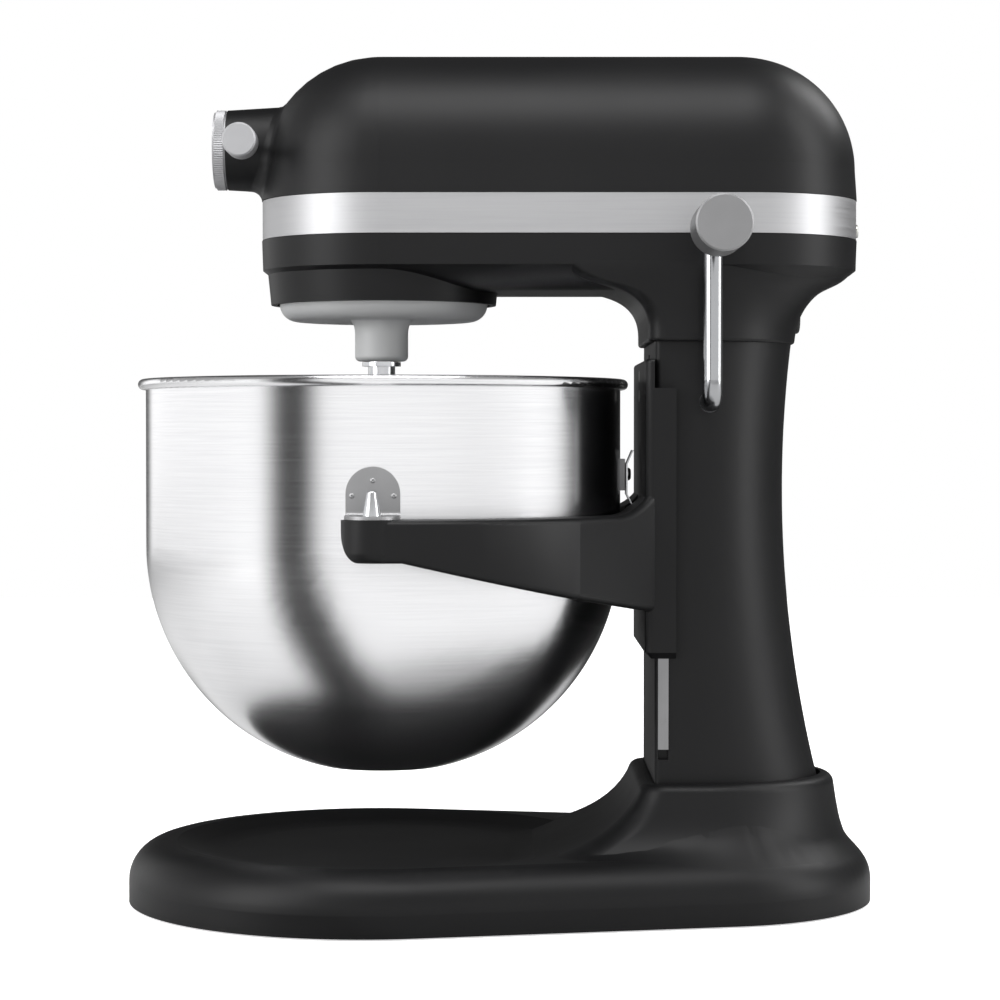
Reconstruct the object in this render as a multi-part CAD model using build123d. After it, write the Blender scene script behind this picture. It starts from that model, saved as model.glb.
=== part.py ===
from build123d import *
import math
import os

os.makedirs("parts", exist_ok=True)

# Bowl-lift stand mixer, millimetres. +X is the back, -Y the lift-lever side, +Z up.
# Clearances that the whole mixer shares
GAP = 0.4
RUN_FIT = 0.05

# Driving sizes: the bowl's radius, the column's front and its top
BOWL_R = 118.0
COLUMN_FRONT_X = 74.5
COLUMN_TOP_Z = 276.5
COLUMN_HALF_WIDTH = 52.0

# The bowl support's plate stands before the column, and the bowl before the plate
PLATE_DEPTH = 5.0
BOWL_BACK_GAP = 9.5
SUPPORT_FRONT_X = COLUMN_FRONT_X - PLATE_DEPTH
# The upright axis that the bowl, the planetary and the round front of the head share
MIX_X = SUPPORT_FRONT_X - BOWL_BACK_GAP - BOWL_R

# Base: the outline is the hull of a front and a back circle
BASE_FRONT_LEAD = 5.7
BASE_FRONT_X = MIX_X - BASE_FRONT_LEAD
BASE_FRONT_R = 121.3
COLUMN_MID_X = COLUMN_FRONT_X + 20.5
BASE_BACK_X = COLUMN_MID_X
BASE_BACK_R = 90.0
BASE_RIM_Z = 30.4
BASE_EDGE_ROUND = 19.0
BASE_WALL = 6.0
BASE_ROOF = 6.5
DISH_MARGIN = 18.3
DISH_R = BASE_FRONT_R - DISH_MARGIN
DISH_SLOPE = 20.0
DISH_DEPTH = 5.5
COLLAR_TOP_Z = 63.5
COLLAR_ROUND = 5.0
COLLAR_FLOOR = 8.0
FOOT_GAP = 0.8
FOOT_R = 9.0
FOOT_HEIGHT = 5.0
FOOT_BOSS_WALL = 2.5
FOOT_FRONT_X = BASE_FRONT_X - 77.0
FOOT_FRONT_Y = 60.0
FOOT_MID_X = COLUMN_MID_X - 55.0
FOOT_MID_Y = 86.0
FOOT_BACK_X = COLUMN_MID_X + 65.0
FOOT_SPOTS = [
    (FOOT_FRONT_X, FOOT_FRONT_Y),
    (FOOT_FRONT_X, -FOOT_FRONT_Y),
    (FOOT_MID_X, FOOT_MID_Y),
    (FOOT_MID_X, -FOOT_MID_Y),
    (FOOT_BACK_X, 0),
]
# Collar heights with the front, the back and the half width there
COLLAR_SHAPE = [
    (14, COLUMN_FRONT_X - 92.5, COLUMN_MID_X + 88, 88),
    (24, COLUMN_FRONT_X - 66.5, COLUMN_MID_X + 83, 82),
    (31, COLUMN_FRONT_X - 44.5, COLUMN_MID_X + 78.5, 75),
    (42, COLUMN_FRONT_X - 22.5, COLUMN_MID_X + 74.5, 67),
    (53, COLUMN_FRONT_X - 11.5, COLUMN_MID_X + 72.5, 63),
    (COLLAR_TOP_Z, COLUMN_FRONT_X - 6.5, COLUMN_MID_X + 71, COLUMN_HALF_WIDTH + 9.5),
]
COLLAR_CORNER = 14.0

# Column: flat front, straight sides and a round back that flares from its waist
COLUMN_WALL = 4.5
COLUMN_CORNER = 3.0
COLUMN_FOOT_Z = 56.0
COLUMN_DECK = 5.0
COLUMN_LEVELS = 6
WAIST_DEPTH = 66.2
WAIST_X = COLUMN_FRONT_X + WAIST_DEPTH
WAIST_DROP = 70.5
WAIST_Z = COLUMN_TOP_Z - WAIST_DROP
FLARE = 0.00085
BOLT_R = 3.0
BOLT_HEAD_R = 5.0
BOLT_HEAD = 4.0
BOLT_FRONT_X = COLUMN_FRONT_X + 11.5
BOLT_BACK_X = COLUMN_MID_X + 27.0
BOLT_FRONT_Y = COLUMN_HALF_WIDTH - 10.0
BOLT_BACK_Y = COLUMN_HALF_WIDTH - 14.0
BOLT_SPOTS = [
    (BOLT_FRONT_X, BOLT_FRONT_Y),
    (BOLT_FRONT_X, -BOLT_FRONT_Y),
    (BOLT_BACK_X, BOLT_BACK_Y),
    (BOLT_BACK_X, -BOLT_BACK_Y),
]
NECK_BOLT_BACK_X = COLUMN_MID_X + 23.0
NECK_BOLT_FRONT_Y = COLUMN_HALF_WIDTH - 16.0
NECK_BOLT_BACK_Y = COLUMN_HALF_WIDTH - 24.0
NECK_BOLT_SPOTS = [
    (BOLT_FRONT_X, NECK_BOLT_FRONT_Y),
    (BOLT_FRONT_X, -NECK_BOLT_FRONT_Y),
    (NECK_BOLT_BACK_X, NECK_BOLT_BACK_Y),
    (NECK_BOLT_BACK_X, -NECK_BOLT_BACK_Y),
]
BOLT_POST_R = 7.0
BOLT_GRIP = 14.0
BOLT_POST_CAP = 2.0

# Guide rails in the sides of the column
RAIL_INSET = 1.6
RAIL_X = COLUMN_FRONT_X + RAIL_INSET
RAIL_WIDTH = 5.0
RAIL_DEPTH = 3.0
RAIL_PROUD = 1.2
RAIL_FOOT_Z = 80.0
RAIL_TOP_DROP = 26.5
RAIL_TOP_Z = COLUMN_TOP_Z - RAIL_TOP_DROP
RAIL_GROOVE_END = 5.0
RAIL_SCREW_R = 1.4
RAIL_SCREW_INSET = 14.0
RAIL_SCREW_LENGTH = 6.0

# Head: a loaf on a straight spine from the mixing axis to the back centre
HEAD_BACK_X = COLUMN_MID_X + 22.0
HEAD_HALF_WIDTH = 60.5
HEAD_WALL = 3.5
NECK_LEDGE = 3.0
NECK_FRONT_X = COLUMN_FRONT_X - NECK_LEDGE
NECK_DEPTH = 75.0
NECK_BACK_X = NECK_FRONT_X + NECK_DEPTH
NECK_SIDE_LEDGE = 3.5
NECK_HALF_WIDTH = COLUMN_HALF_WIDTH + NECK_SIDE_LEDGE
NECK_FLOOR = 6.0
# Rise over the column with how far front, back and side move out there
NECK_FLARE = [
    (0, 0, 0, 0),
    (6.5, 0.1, 1, 0.2),
    (13.5, 1.4, 3.3, 0.7),
    (20.5, 6.2, 7.5, 1.7),
    (26.5, 18.5, 14.5, 3.0),
    (32.5, 36.5, 25.5, 4.3),
    (38.5, 44.5, 29.0, 4.6),
]
NECK_CORNER = 8.0
NECK_EDGE_ROUND = 1.5
UNDERSIDE_RISE = 25.5
KEEL_R = 30.0
HAUNCH_RISE = 11.0
LOWER_HEIGHT = 25.7
BAND_HEIGHT = 19.8
BAND_THICK = 1.2
BAND_SEAT = 0.3
DOME_R = 57.0
DOME_FLAT = 2.5
UPPER_HEIGHT = 71.5
UNDERSIDE_Z = COLUMN_TOP_Z + UNDERSIDE_RISE
BAND_FOOT_Z = UNDERSIDE_Z + LOWER_HEIGHT
BAND_TOP_Z = BAND_FOOT_Z + BAND_HEIGHT
SPLIT_Z = (BAND_FOOT_Z + BAND_TOP_Z) / 2
HEAD_TOP_Z = BAND_TOP_Z + UPPER_HEIGHT
HEAD_INNER = HEAD_HALF_WIDTH - HEAD_WALL
BAND_SCREW_R = 1.6
BAND_SCREW_HEAD = 1.0
BAND_SCREW_TIP = 0.5
BAND_SCREW_ANGLE = 5.0

# Skirt and recess of the planetary
SKIRT_DROP = 6.0
SKIRT_R = 56.0
SKIRT_TOP_R = 57.5
SKIRT_WALL = 3.0
RECESS_DEPTH = 13.0
GEAR_FLOOR = 5.0
BEARING_BOSS = 4.0
SKIRT_Z = UNDERSIDE_Z - SKIRT_DROP
RECESS_Z = SKIRT_Z + RECESS_DEPTH
FLOOR_Z = RECESS_Z + GEAR_FLOOR

# Straight-flanked gear teeth
TOOTH_ADDENDUM = 0.8
TOOTH_DEDENDUM = 1.15
TOOTH_SHARE = 0.43
TOOTH_FLANK = 20.0
TOOTH_SINK = 0.3

# Planetary train: fixed ring, planet pinion on the agitator shaft
RING_TEETH = 52
PLANET_TEETH = 18
PLANET_MODULE = 1.5
RING_R = 47.0
PLANET_OFFSET = PLANET_MODULE * (RING_TEETH - PLANET_TEETH) / 2
PLANET_FACE = 8.0
PLANET_CLEAR = 1.0
CARRIER_R = 51.75
CARRIER_THICK = 9.5
CARRIER_ROUND = 4.0
CARRIER_SINK = 1.5
CARRIER_TOP_Z = SKIRT_Z + CARRIER_SINK
CARRIER_Z = CARRIER_TOP_Z - CARRIER_THICK
CARRIER_HUB_R = 9.0
CARRIER_HUB_CLEAR = 1.5
BOSS_R = 13.0
BOSS_DROP = 20.5
BOSS_ROUND = 2.5
BOSS_FILLET = 4.0
CENTRE_SHAFT_R = 7.0
CENTRE_SHAFT_PASS = 3.0
CENTRE_SHAFT_SINK = 1.0
AGITATOR_R = 6.35
JOURNAL_R = 6.6
AGITATOR_END = 12.5
AGITATOR_DROP = 34.0
AGITATOR_CHAMFER = 1.0
AGITATOR_BUSH_WALL = 3.0
WASHER_R = 9.4
WASHER_THICK = 2.0
CROSS_PIN_R = 2.2
CROSS_PIN_HALF = 10.0
CROSS_PIN_DROP = 17.0
BOSS_Z = CARRIER_Z - BOSS_DROP

# Main gear, countershaft and bevels
MAIN_TEETH = 60
COUNTER_TEETH = 15
SPUR_MODULE = 1.25
WHEEL_TEETH = 42
PINION_TEETH = 14
BEVEL_MODULE = 1.25
WHEEL_FACE = 8.0
CENTRE_TEETH = 24
HUB_TEETH = 16
HUB_MODULE = 1.5
HUB_FACE = 6.0
HUB_BACK = 6.0
PINION_BACK = 5.0
PILOT_R = 1.0
SPUR_FACE = 9.0
SPUR_CLEAR = 5.0
COUNTER_X = MIX_X + SPUR_MODULE * (MAIN_TEETH + COUNTER_TEETH) / 2
COUNTER_R = 5.0
BUSH_WALL = 2.0
COUNTER_BUSH = 8.0
MAIN_Z = FLOOR_Z + SPUR_CLEAR
BRIDGE_CLEAR = 2.0
BRIDGE_Z = MAIN_Z + SPUR_FACE + BRIDGE_CLEAR
BRIDGE_THICK = 3.5
BRIDGE_LEG_Y = 44.0
BRIDGE_LEG_R = 6.0
BRIDGE_HALF_WIDTH = 10.0
BRIDGE_PAD = 2.0
BRIDGE_PAD_Z = FLOOR_Z + BRIDGE_PAD
BRIDGE_SCREW_R = 2.0
BRIDGE_SCREW_HEAD_R = 3.5
BRIDGE_SCREW_HEAD = 2.5
BRIDGE_SCREW_GRIP = 6.0
BRIDGE_EDGE = 1.0
WHEEL_BODY = 9.0
WHEEL_RIM = 4.5
WHEEL_CLEAR = 1.0
WHEEL_Z = BRIDGE_Z + BRIDGE_THICK + WHEEL_CLEAR + WHEEL_BODY
MOTOR_Z = WHEEL_Z + BEVEL_MODULE * PINION_TEETH / 2
BEARING_WALL = 7.0
CENTRE_BEARING = 8.0
CENTRE_BOSS_R = 20.0

# Hub nose for attachments on the front of the head
HUB_RISE = 25.75
HUB_Z = BAND_TOP_Z + HUB_RISE
NOSE_REACH = 77.3
NOSE_FRONT_X = MIX_X - NOSE_REACH
NOSE_R = 19.8
NOSE_ROOT_R = 21.2
NOSE_LENGTH = 23.3
NOSE_ROOT_X = NOSE_FRONT_X + NOSE_LENGTH
NOSE_FILLET = 6.0
HUB_MOUTH_R = 17.8
HUB_BORE_R = 17.0
HUB_BORE = 13.3
SOCKET_WELL = 27.3
SOCKET_WELL_X = NOSE_FRONT_X + SOCKET_WELL
SOCKET_WELL_R = 13.0
BARREL = 37.3
BARREL_BACK_X = NOSE_FRONT_X + BARREL
HUB_SHAFT_R = 6.0
HUB_BUSH_WALL = 3.0
SOCKET_R = 11.0
SOCKET_LENGTH = 13.0
SOCKET_SQUARE = 11.0
SOCKET_DEPTH = 11.0
CAP_R = 19.8
CAP_THICK = 6.4
CAP_CHAMFER = 1.0
CAP_SPIGOT = 5.0
CAP_RIBS = 108
CAP_RIB_DEPTH = 0.3
SCREW_INSET = 10.0
SCREW_X = NOSE_FRONT_X + SCREW_INSET
SCREW_KNOB_R = 8.2
SCREW_KNOB = 16.0
SCREW_SHANK_R = 3.0
SCREW_NECK = 15.5
SCREW_CHAMFER = 0.8

# Motor
STATOR_R = 40.0
STATOR_LENGTH = 76.0
STATOR_FRONT_X = HEAD_BACK_X - 61.0
STATOR_BACK_X = STATOR_FRONT_X + STATOR_LENGTH
STATOR_BORE_R = 24.0
COIL_R = 34.0
COIL_OVERHANG = 8.0
COIL_ROUND = 2.0
STATOR_FLAT = 1.0
ROTOR_R = 23.0
ROTOR_INSET = 4.0
ROTOR_SLOTS = 12
ROTOR_SLOT_R = 2.0
MOTOR_SHAFT_R = 4.0
COMMUTATOR_R = 12.0
COMMUTATOR_GAP = 3.0
COMMUTATOR = 9.0
FRONT_BRACKET_X = STATOR_FRONT_X - 32.0
BACK_BRACKET_X = STATOR_BACK_X + 17.0
BRACKET_THICK = 6.0
FRONT_BRACKET_R = 42.0
BACK_BRACKET_R = 33.0
BRACKET_PAD_RISE = 16.0
BRACKET_PAD_Z = UNDERSIDE_Z + BRACKET_PAD_RISE
BRACKET_SHOULDER = 4.0
BRACKET_WINDOW_SHARE = 7
FAN_R = 34.0
FAN_X = FRONT_BRACKET_X + 11.0
FAN_LENGTH = 11.0
FAN_BLADES = 9
FAN_PLATE = 2.0
BRUSH_SIZE = 6.0
BRUSH_LENGTH = 10.0
PAD_WIDTH = 22.0
PAD_HALF = 8.0

# Speed slide on the +Y side of the band
SPEED_X = HEAD_BACK_X - 12.0
SPEED_TRAVEL = 50.0
SPEED_STEM = 6.0
SPEED_STEM_THICK = 3.0
SPEED_CLEAR = 1.0
SPEED_KNOB_GAP = 3.0
SPEED_KNOB_REACH = 16.0
SPEED_KNOB_WIDTH = 11.0
SPEED_KNOB_HEIGHT = 17.0
SPEED_SOCKET = 5.0
SPEED_KNOB_ROUND = 3.0
BOARD_Y = HEAD_INNER - 15.0
BOARD_THICK = 2.0
BOARD_HEIGHT = 18.0
BOARD_POST_R = 3.5
BOARD_POST_INSET = 7.0
BOARD_SCREW_R = 1.2
BOARD_SCREW_HEAD = 1.2
BOARD_POST_DROP = 6.0

# Lift lever on the -Y side and its crank inside the column
LEVER_INSET = 26.5
LEVER_X = COLUMN_FRONT_X + LEVER_INSET
LEVER_DROP = 29.0
LEVER_Z = COLUMN_TOP_Z - LEVER_DROP
LEVER_R = 4.8
LEVER_ROD_OUT = 16.0
LEVER_ROD_Y = -COLUMN_HALF_WIDTH - LEVER_ROD_OUT
LEVER_LENGTH = 79.5
LEVER_BEND = 10.0
LEVER_KNOB_R = 13.1
LEVER_KNOB_OUT = 30.0
LEVER_KNOB_Y = LEVER_ROD_Y - LEVER_KNOB_OUT
LEVER_KNOB = 38.0
LEVER_KNOB_CHAMFER = 0.8
LEVER_KNOB_HOLE = 20.0
LEVER_BUSH = 22.0
LEVER_BUSH_WALL = 2.7
LEVER_BUSH_INSET = 4.0
LEVER_BOSS_R = 12.0
LEVER_TURN = 110.0
CRANK_START = 55.0
CRANK_Y = -14.0
CRANK_THICK = 6.0
CRANK_PIN_R = 3.5
CRANK_PIN = 12.0
CRANK_HUB_WALL = 3.5
CRANK_EYE_WALL = 2.5
CRANK_STEPS = 22
LIFT_TRAVEL = 38.0
CRANK_DROP = math.cos(math.radians(CRANK_START)) - math.cos(math.radians(CRANK_START + LEVER_TURN))
CRANK_R = LIFT_TRAVEL / CRANK_DROP

# Bowl support: a plate on the column's front, side flanges and two arms
SUPPORT_DROP = 8.5
SUPPORT_HEIGHT = 144.0
SUPPORT_TOP_Z = COLUMN_TOP_Z - SUPPORT_DROP
SUPPORT_FOOT_Z = SUPPORT_TOP_Z - SUPPORT_HEIGHT
FLANGE_THICK = 5.0
FLANGE_DEPTH = 10.0
FLANGE_BACK_X = COLUMN_FRONT_X + FLANGE_DEPTH
FLANGE_DROP = 14.0
FLANGE_TOP_Z = SUPPORT_TOP_Z - FLANGE_DROP
FLANGE_CHAMFER = 3.0
PLATE_EDGE_ROUND = 2.0
ARM_DROP = 75.0
ARM_TOP_Z = SUPPORT_TOP_Z - ARM_DROP
ARM_TIP_HEIGHT = 19.4
ARM_ROOT_HEIGHT = 41.0
ARM_THICK = 24.0
ARM_OUTER_R = BOWL_R + ARM_THICK
ARM_SWEEP = 48.0
ARM_GUSSET = 22.0
ARM_HEEL = 6.0
ARM_EDGE_ROUND = 3.0
PIN_OUT = 11.5
PIN_Y = BOWL_R + PIN_OUT
ARM_BOSS_R = 14.0
ARM_BOSS_ROUND = 5.0
PIN_R = 4.0
PIN_TIP_R = 2.1
PIN_HEIGHT = 11.0
PIN_SHANK_R = 3.0
PIN_SHANK = 10.0
LIFT_PLATE_HALF = 3.0
LIFT_PLATE_DROP = 24.0
LIFT_PLATE_FOOT_Z = SUPPORT_TOP_Z - LIFT_PLATE_DROP
LIFT_SLOT_CLEAR = 1.0
LIFT_SLOT_WALL = 3.3
LIFT_SCREW_R = 1.6
LIFT_SCREW_HEAD_R = 3.0
LIFT_SCREW_HEAD = 1.8
LIFT_SCREW = 10.0
LIFT_SCREW_INSET = 7.0
LIFT_SCREW_PITCH = 9.8
LATCH_HALF_WIDTH = 8.0
LATCH_THICK = 0.7
LATCH_FOOT_Z = ARM_TOP_Z - 13.0
LATCH_KNEE_Z = ARM_TOP_Z - 3.0
LATCH_HIP_Z = ARM_TOP_Z + 9.0
LATCH_LIP_Z = ARM_TOP_Z + 24.0
LATCH_TOP_Z = ARM_TOP_Z + 31.0
LATCH_LIP_OUT = 3.0
POCKET_HALF_WIDTH = 11.0
POCKET_FOOT_Z = LATCH_FOOT_Z - 2.0
RIVET_R = 3.2
RIVET_HEIGHT = 1.9
RIVET_Z = ARM_TOP_Z + 19.0

# Bowl
BOWL_WALL = 1.2
BOWL_RIM_RISE = 63.4
BOWL_RIM_Z = ARM_TOP_Z + BOWL_RIM_RISE
BOWL_STRAIGHT = 79.4
BOWL_SPRING_Z = BOWL_RIM_Z - BOWL_STRAIGHT
BOWL_ARC_INSET = 5.0
BOWL_ARC_R = BOWL_R - BOWL_ARC_INSET
BOWL_FLAT = 25.865
BOWL_BELLY = math.sqrt(BOWL_ARC_R**2 - BOWL_FLAT**2)
BOWL_FOOT_Z = BOWL_SPRING_Z - BOWL_BELLY
BOWL_ARC_VIA = 40.0
BOWL_BEAD_R = 2.6
BOWL_CLEAR = 3.5
BRACKET_HALF_WIDTH = 12.5
BRACKET_HEIGHT = 24.0
BRACKET_TOP_Z = ARM_TOP_Z + BRACKET_HEIGHT
BRACKET_PLATE = 1.6
BRACKET_SEAT = 0.2
BRACKET_HOLE_R = 5.0
LATCH_PLATE_HALF_WIDTH = 11.0
LATCH_PLATE_FOOT_Z = LATCH_HIP_Z + 2.0
LATCH_PLATE_TOP_Z = LATCH_LIP_Z + 2.6
LATCH_PLATE = 2.4

# Cord gland in the back of the neck
GLAND_RISE = 13.5
GLAND_Z = COLUMN_TOP_Z + GLAND_RISE
GLAND_R = 5.8
GLAND_FLANGE_R = 8.0
GLAND_FLANGE = 4.0
GLAND_INSET = 20.5
GLAND_INNER_X = NECK_BACK_X - GLAND_INSET
GLAND_HOLE_R = 3.8
GLAND_SEAT = -1.2
GLAND_ROUND = 1.5
CABLE_WELL_FRONT_X = NECK_FRONT_X + 16.5
CABLE_WELL_BACK_X = NECK_BACK_X - 16.5
CABLE_WELL_HALF = 28.0


def rod_x(x0, x1, radius, y=0.0, z=0.0):
    return Pos((x0 + x1) / 2, y, z) * Rot(0, 90, 0) * Cylinder(radius, x1 - x0)


def rod_y(y0, y1, radius, x=0.0, z=0.0):
    return Pos(x, (y0 + y1) / 2, z) * Rot(90, 0, 0) * Cylinder(radius, y1 - y0)


def rod_z(z0, z1, radius, x=0.0, y=0.0):
    return Pos(x, y, (z0 + z1) / 2) * Cylinder(radius, z1 - z0)


def block(x0, x1, y0, y1, z0, z1):
    return Pos((x0 + x1) / 2, (y0 + y1) / 2, (z0 + z1) / 2) * Box(x1 - x0, y1 - y0, z1 - z0)


def group(pieces):
    return Compound(children=[solid for piece in pieces for solid in piece.solids()])


def d_section(front, back, half_width, corner, z):
    # Flat front with rounded corners, straight sides, half-ellipse back
    inner = half_width - corner
    edges = [
        Line((front, inner), (front, -inner)),
        CenterArc((front + corner, -inner), corner, 180, 90),
        Line((front + corner, -half_width), (COLUMN_MID_X, -half_width)),
        EllipticalCenterArc((COLUMN_MID_X, 0), back - COLUMN_MID_X, half_width, -90, arc_size=180),
        Line((COLUMN_MID_X, half_width), (front + corner, half_width)),
        CenterArc((front + corner, inner), corner, 90, 90),
    ]
    return Pos(0, 0, z) * make_face(edges)


def loaf(profile_edges):
    # A half profile, distance from the spine against height, carried round the head's spine
    half = make_face(profile_edges)
    section = Plane.XZ * half
    front = Pos(MIX_X, 0, 0) * revolve(section, Axis.Z, 360)
    back = Pos(HEAD_BACK_X, 0, 0) * revolve(section, Axis.Z, 360)
    across = Plane.YZ * half
    middle = extrude(across + mirror(across, Plane.XZ), HEAD_BACK_X - MIX_X)
    return front + back + Pos(MIX_X, 0, 0) * middle


def slot_prism(half_width, z0, z1):
    length = HEAD_BACK_X - MIX_X
    outline = SlotCenterToCenter(length, 2 * half_width)
    return Pos((HEAD_BACK_X + MIX_X) / 2, 0, z0) * extrude(outline, z1 - z0)


def tooth_points(teeth, tip_r, root_r, tooth_angle):
    # Straight flanks that lean in towards the tip, which lies inside for a ring gear
    pitch = 2 * math.pi / teeth
    half = TOOTH_SHARE * pitch / 2
    lean = math.tan(math.radians(TOOTH_FLANK)) * 2 / teeth
    tip_half = half - TOOTH_ADDENDUM * lean
    root_half = half + TOOTH_DEDENDUM * lean
    points = []
    for index in range(teeth):
        middle = math.radians(tooth_angle) + index * pitch
        flanks = ((-root_half, root_r), (-tip_half, tip_r), (tip_half, tip_r), (root_half, root_r))
        for turn, radius in flanks:
            points.append((radius * math.cos(middle + turn), radius * math.sin(middle + turn)))
    return points


def tooth_face(teeth, tip_r, root_r, tooth_angle):
    points = tooth_points(teeth, tip_r, root_r, tooth_angle)
    return make_face(Polyline(*points, close=True))


def spur_gear(teeth, module, face, bore_r, tooth_angle):
    pitch_r = module * teeth / 2
    tip_r = pitch_r + TOOTH_ADDENDUM * module
    root_r = pitch_r - TOOTH_DEDENDUM * module
    blank = extrude(tooth_face(teeth, tip_r, root_r, tooth_angle), face)
    return blank - Pos(0, 0, face / 2) * Cylinder(bore_r, 2 * face)


def ring_gear_blank(face):
    pitch_r = PLANET_MODULE * RING_TEETH / 2
    tip_r = pitch_r - TOOTH_ADDENDUM * PLANET_MODULE
    root_r = pitch_r + TOOTH_DEDENDUM * PLANET_MODULE
    hole = extrude(tooth_face(RING_TEETH, tip_r, root_r, 0), face)
    return extrude(Circle(RING_R), face) - hole


def bevel_gear(teeth, mate_teeth, module, face, bore_r, back, tooth_angle):
    # Large end at z = 0, apex on +z; the plain back reaches below z = 0
    pitch_r = module * teeth / 2
    apex = module * mate_teeth / 2
    cone = math.hypot(pitch_r, apex)
    lean = math.atan2(pitch_r, apex)
    tip_r = apex * math.tan(lean + TOOTH_ADDENDUM * module / cone)
    root_r = apex * math.tan(lean - TOOTH_DEDENDUM * module / cone)
    height = face * math.cos(lean)
    shrink = 1 - height / apex
    blank = Pos(0, 0, height / 2) * Cone(root_r, root_r * shrink, height)
    blank += Pos(0, 0, -back / 2) * Cylinder(root_r, back)
    corners = tooth_points(teeth, tip_r, root_r - TOOTH_SINK, tooth_angle)
    flanks = []
    for index in range(teeth):
        large = corners[4 * index : 4 * index + 4]
        small = [(x * shrink, y * shrink, height) for x, y in large]
        flanks.append(ConvexPolyhedron([(x, y, 0) for x, y in large] + small))
    blank += flanks
    return blank - Cylinder(bore_r, 4 * (back + height))


def column_back(z):
    return WAIST_X + FLARE * (z - WAIST_Z) ** 2


def column_loft(inset, z0, z1):
    rise = (z1 - z0) / COLUMN_LEVELS
    sections = []
    for level in range(COLUMN_LEVELS + 1):
        z = z0 + level * rise
        back = column_back(z) - inset
        sections.append(
            d_section(COLUMN_FRONT_X + inset, back, COLUMN_HALF_WIDTH - inset, COLUMN_CORNER, z)
        )
    return loft(sections)


def base_outline(inset):
    front = Pos(BASE_FRONT_X, 0) * Circle(BASE_FRONT_R - inset)
    back = Pos(BASE_BACK_X, 0) * Circle(BASE_BACK_R - inset)
    return make_hull(front.edges() + back.edges())


def base_casting():
    slab = Pos(0, 0, FOOT_GAP) * extrude(base_outline(0), BASE_RIM_Z - FOOT_GAP)
    slab = fillet(slab.edges().group_by(Axis.Z)[-1], BASE_EDGE_ROUND)
    dish_z = BASE_RIM_Z - DISH_DEPTH
    dish = Pos(MIX_X, 0, dish_z + DISH_DEPTH) * Cone(
        DISH_R - DISH_SLOPE, DISH_R + DISH_SLOPE, 2 * DISH_DEPTH
    )
    slab -= dish
    collar = loft([d_section(f, b, w, COLLAR_CORNER, z) for z, f, b, w in COLLAR_SHAPE])
    collar = fillet(collar.edges().group_by(Axis.Z)[-1], COLLAR_ROUND)
    casting = slab + collar
    roof_z = dish_z - BASE_ROOF
    casting -= extrude(base_outline(BASE_WALL), roof_z)
    well_top = COLUMN_FOOT_Z - COLLAR_FLOOR
    well = d_section(
        COLUMN_FRONT_X, column_back(COLUMN_FOOT_Z), COLUMN_HALF_WIDTH, COLUMN_CORNER, 0
    )
    casting -= extrude(well, well_top)
    pocket_back = column_back(COLUMN_FOOT_Z) + GAP
    pocket = d_section(
        COLUMN_FRONT_X - GAP, pocket_back, COLUMN_HALF_WIDTH + GAP, COLUMN_CORNER, COLUMN_FOOT_Z
    )
    casting -= extrude(pocket, COLLAR_TOP_Z)
    for x, y in BOLT_SPOTS:
        casting -= rod_z(well_top - 1, COLUMN_FOOT_Z + 1, BOLT_R, x, y)
    for x, y in FOOT_SPOTS:
        casting += rod_z(FOOT_GAP, roof_z + 1, FOOT_R + FOOT_BOSS_WALL, x, y)
        casting -= rod_z(0, FOOT_HEIGHT, FOOT_R, x, y)
    return casting


def rubber_feet():
    feet = []
    for x, y in FOOT_SPOTS:
        foot = rod_z(0, FOOT_HEIGHT, FOOT_R, x, y)
        feet.append(chamfer(foot.edges().group_by(Axis.Z)[0], FOOT_GAP / 2))
    return group(feet)


def base_bolts():
    head_top = COLUMN_FOOT_Z - COLLAR_FLOOR
    bolts = []
    for x, y in BOLT_SPOTS:
        head = Pos(x, y, head_top - BOLT_HEAD) * extrude(RegularPolygon(BOLT_HEAD_R, 6), BOLT_HEAD)
        bolts.append(head + rod_z(head_top, COLUMN_FOOT_Z + BOLT_GRIP, BOLT_R, x, y))
    return group(bolts)


def rail_box(side, clear):
    inner = COLUMN_HALF_WIDTH - RAIL_DEPTH
    outer = COLUMN_HALF_WIDTH + RAIL_PROUD + clear
    y0, y1 = sorted((side * inner, side * outer))
    return block(RAIL_X - clear, RAIL_X + RAIL_WIDTH + clear, y0, y1, RAIL_FOOT_Z, RAIL_TOP_Z)


def rail_screw_heights():
    return RAIL_FOOT_Z + RAIL_SCREW_INSET, RAIL_TOP_Z - RAIL_SCREW_INSET


def rail_screw(side, z):
    outer = COLUMN_HALF_WIDTH + RAIL_PROUD - GAP
    y0, y1 = sorted((side * outer, side * (outer - RAIL_SCREW_LENGTH)))
    return rod_y(y0, y1, RAIL_SCREW_R, RAIL_X + RAIL_WIDTH / 2, z)


def rail_screws():
    return group([rail_screw(side, z) for side in (-1, 1) for z in rail_screw_heights()])


def guide_rail(side):
    rail = rail_box(side, 0)
    for z in rail_screw_heights():
        rail -= rail_screw(side, z)
        rail -= Pos(0, side * 2 * GAP, 0) * rail_screw(side, z)
    return rail


def guide_rails():
    return group([guide_rail(side) for side in (-1, 1)])


def lift_slot_top():
    return COLUMN_TOP_Z - COLUMN_DECK


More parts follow.
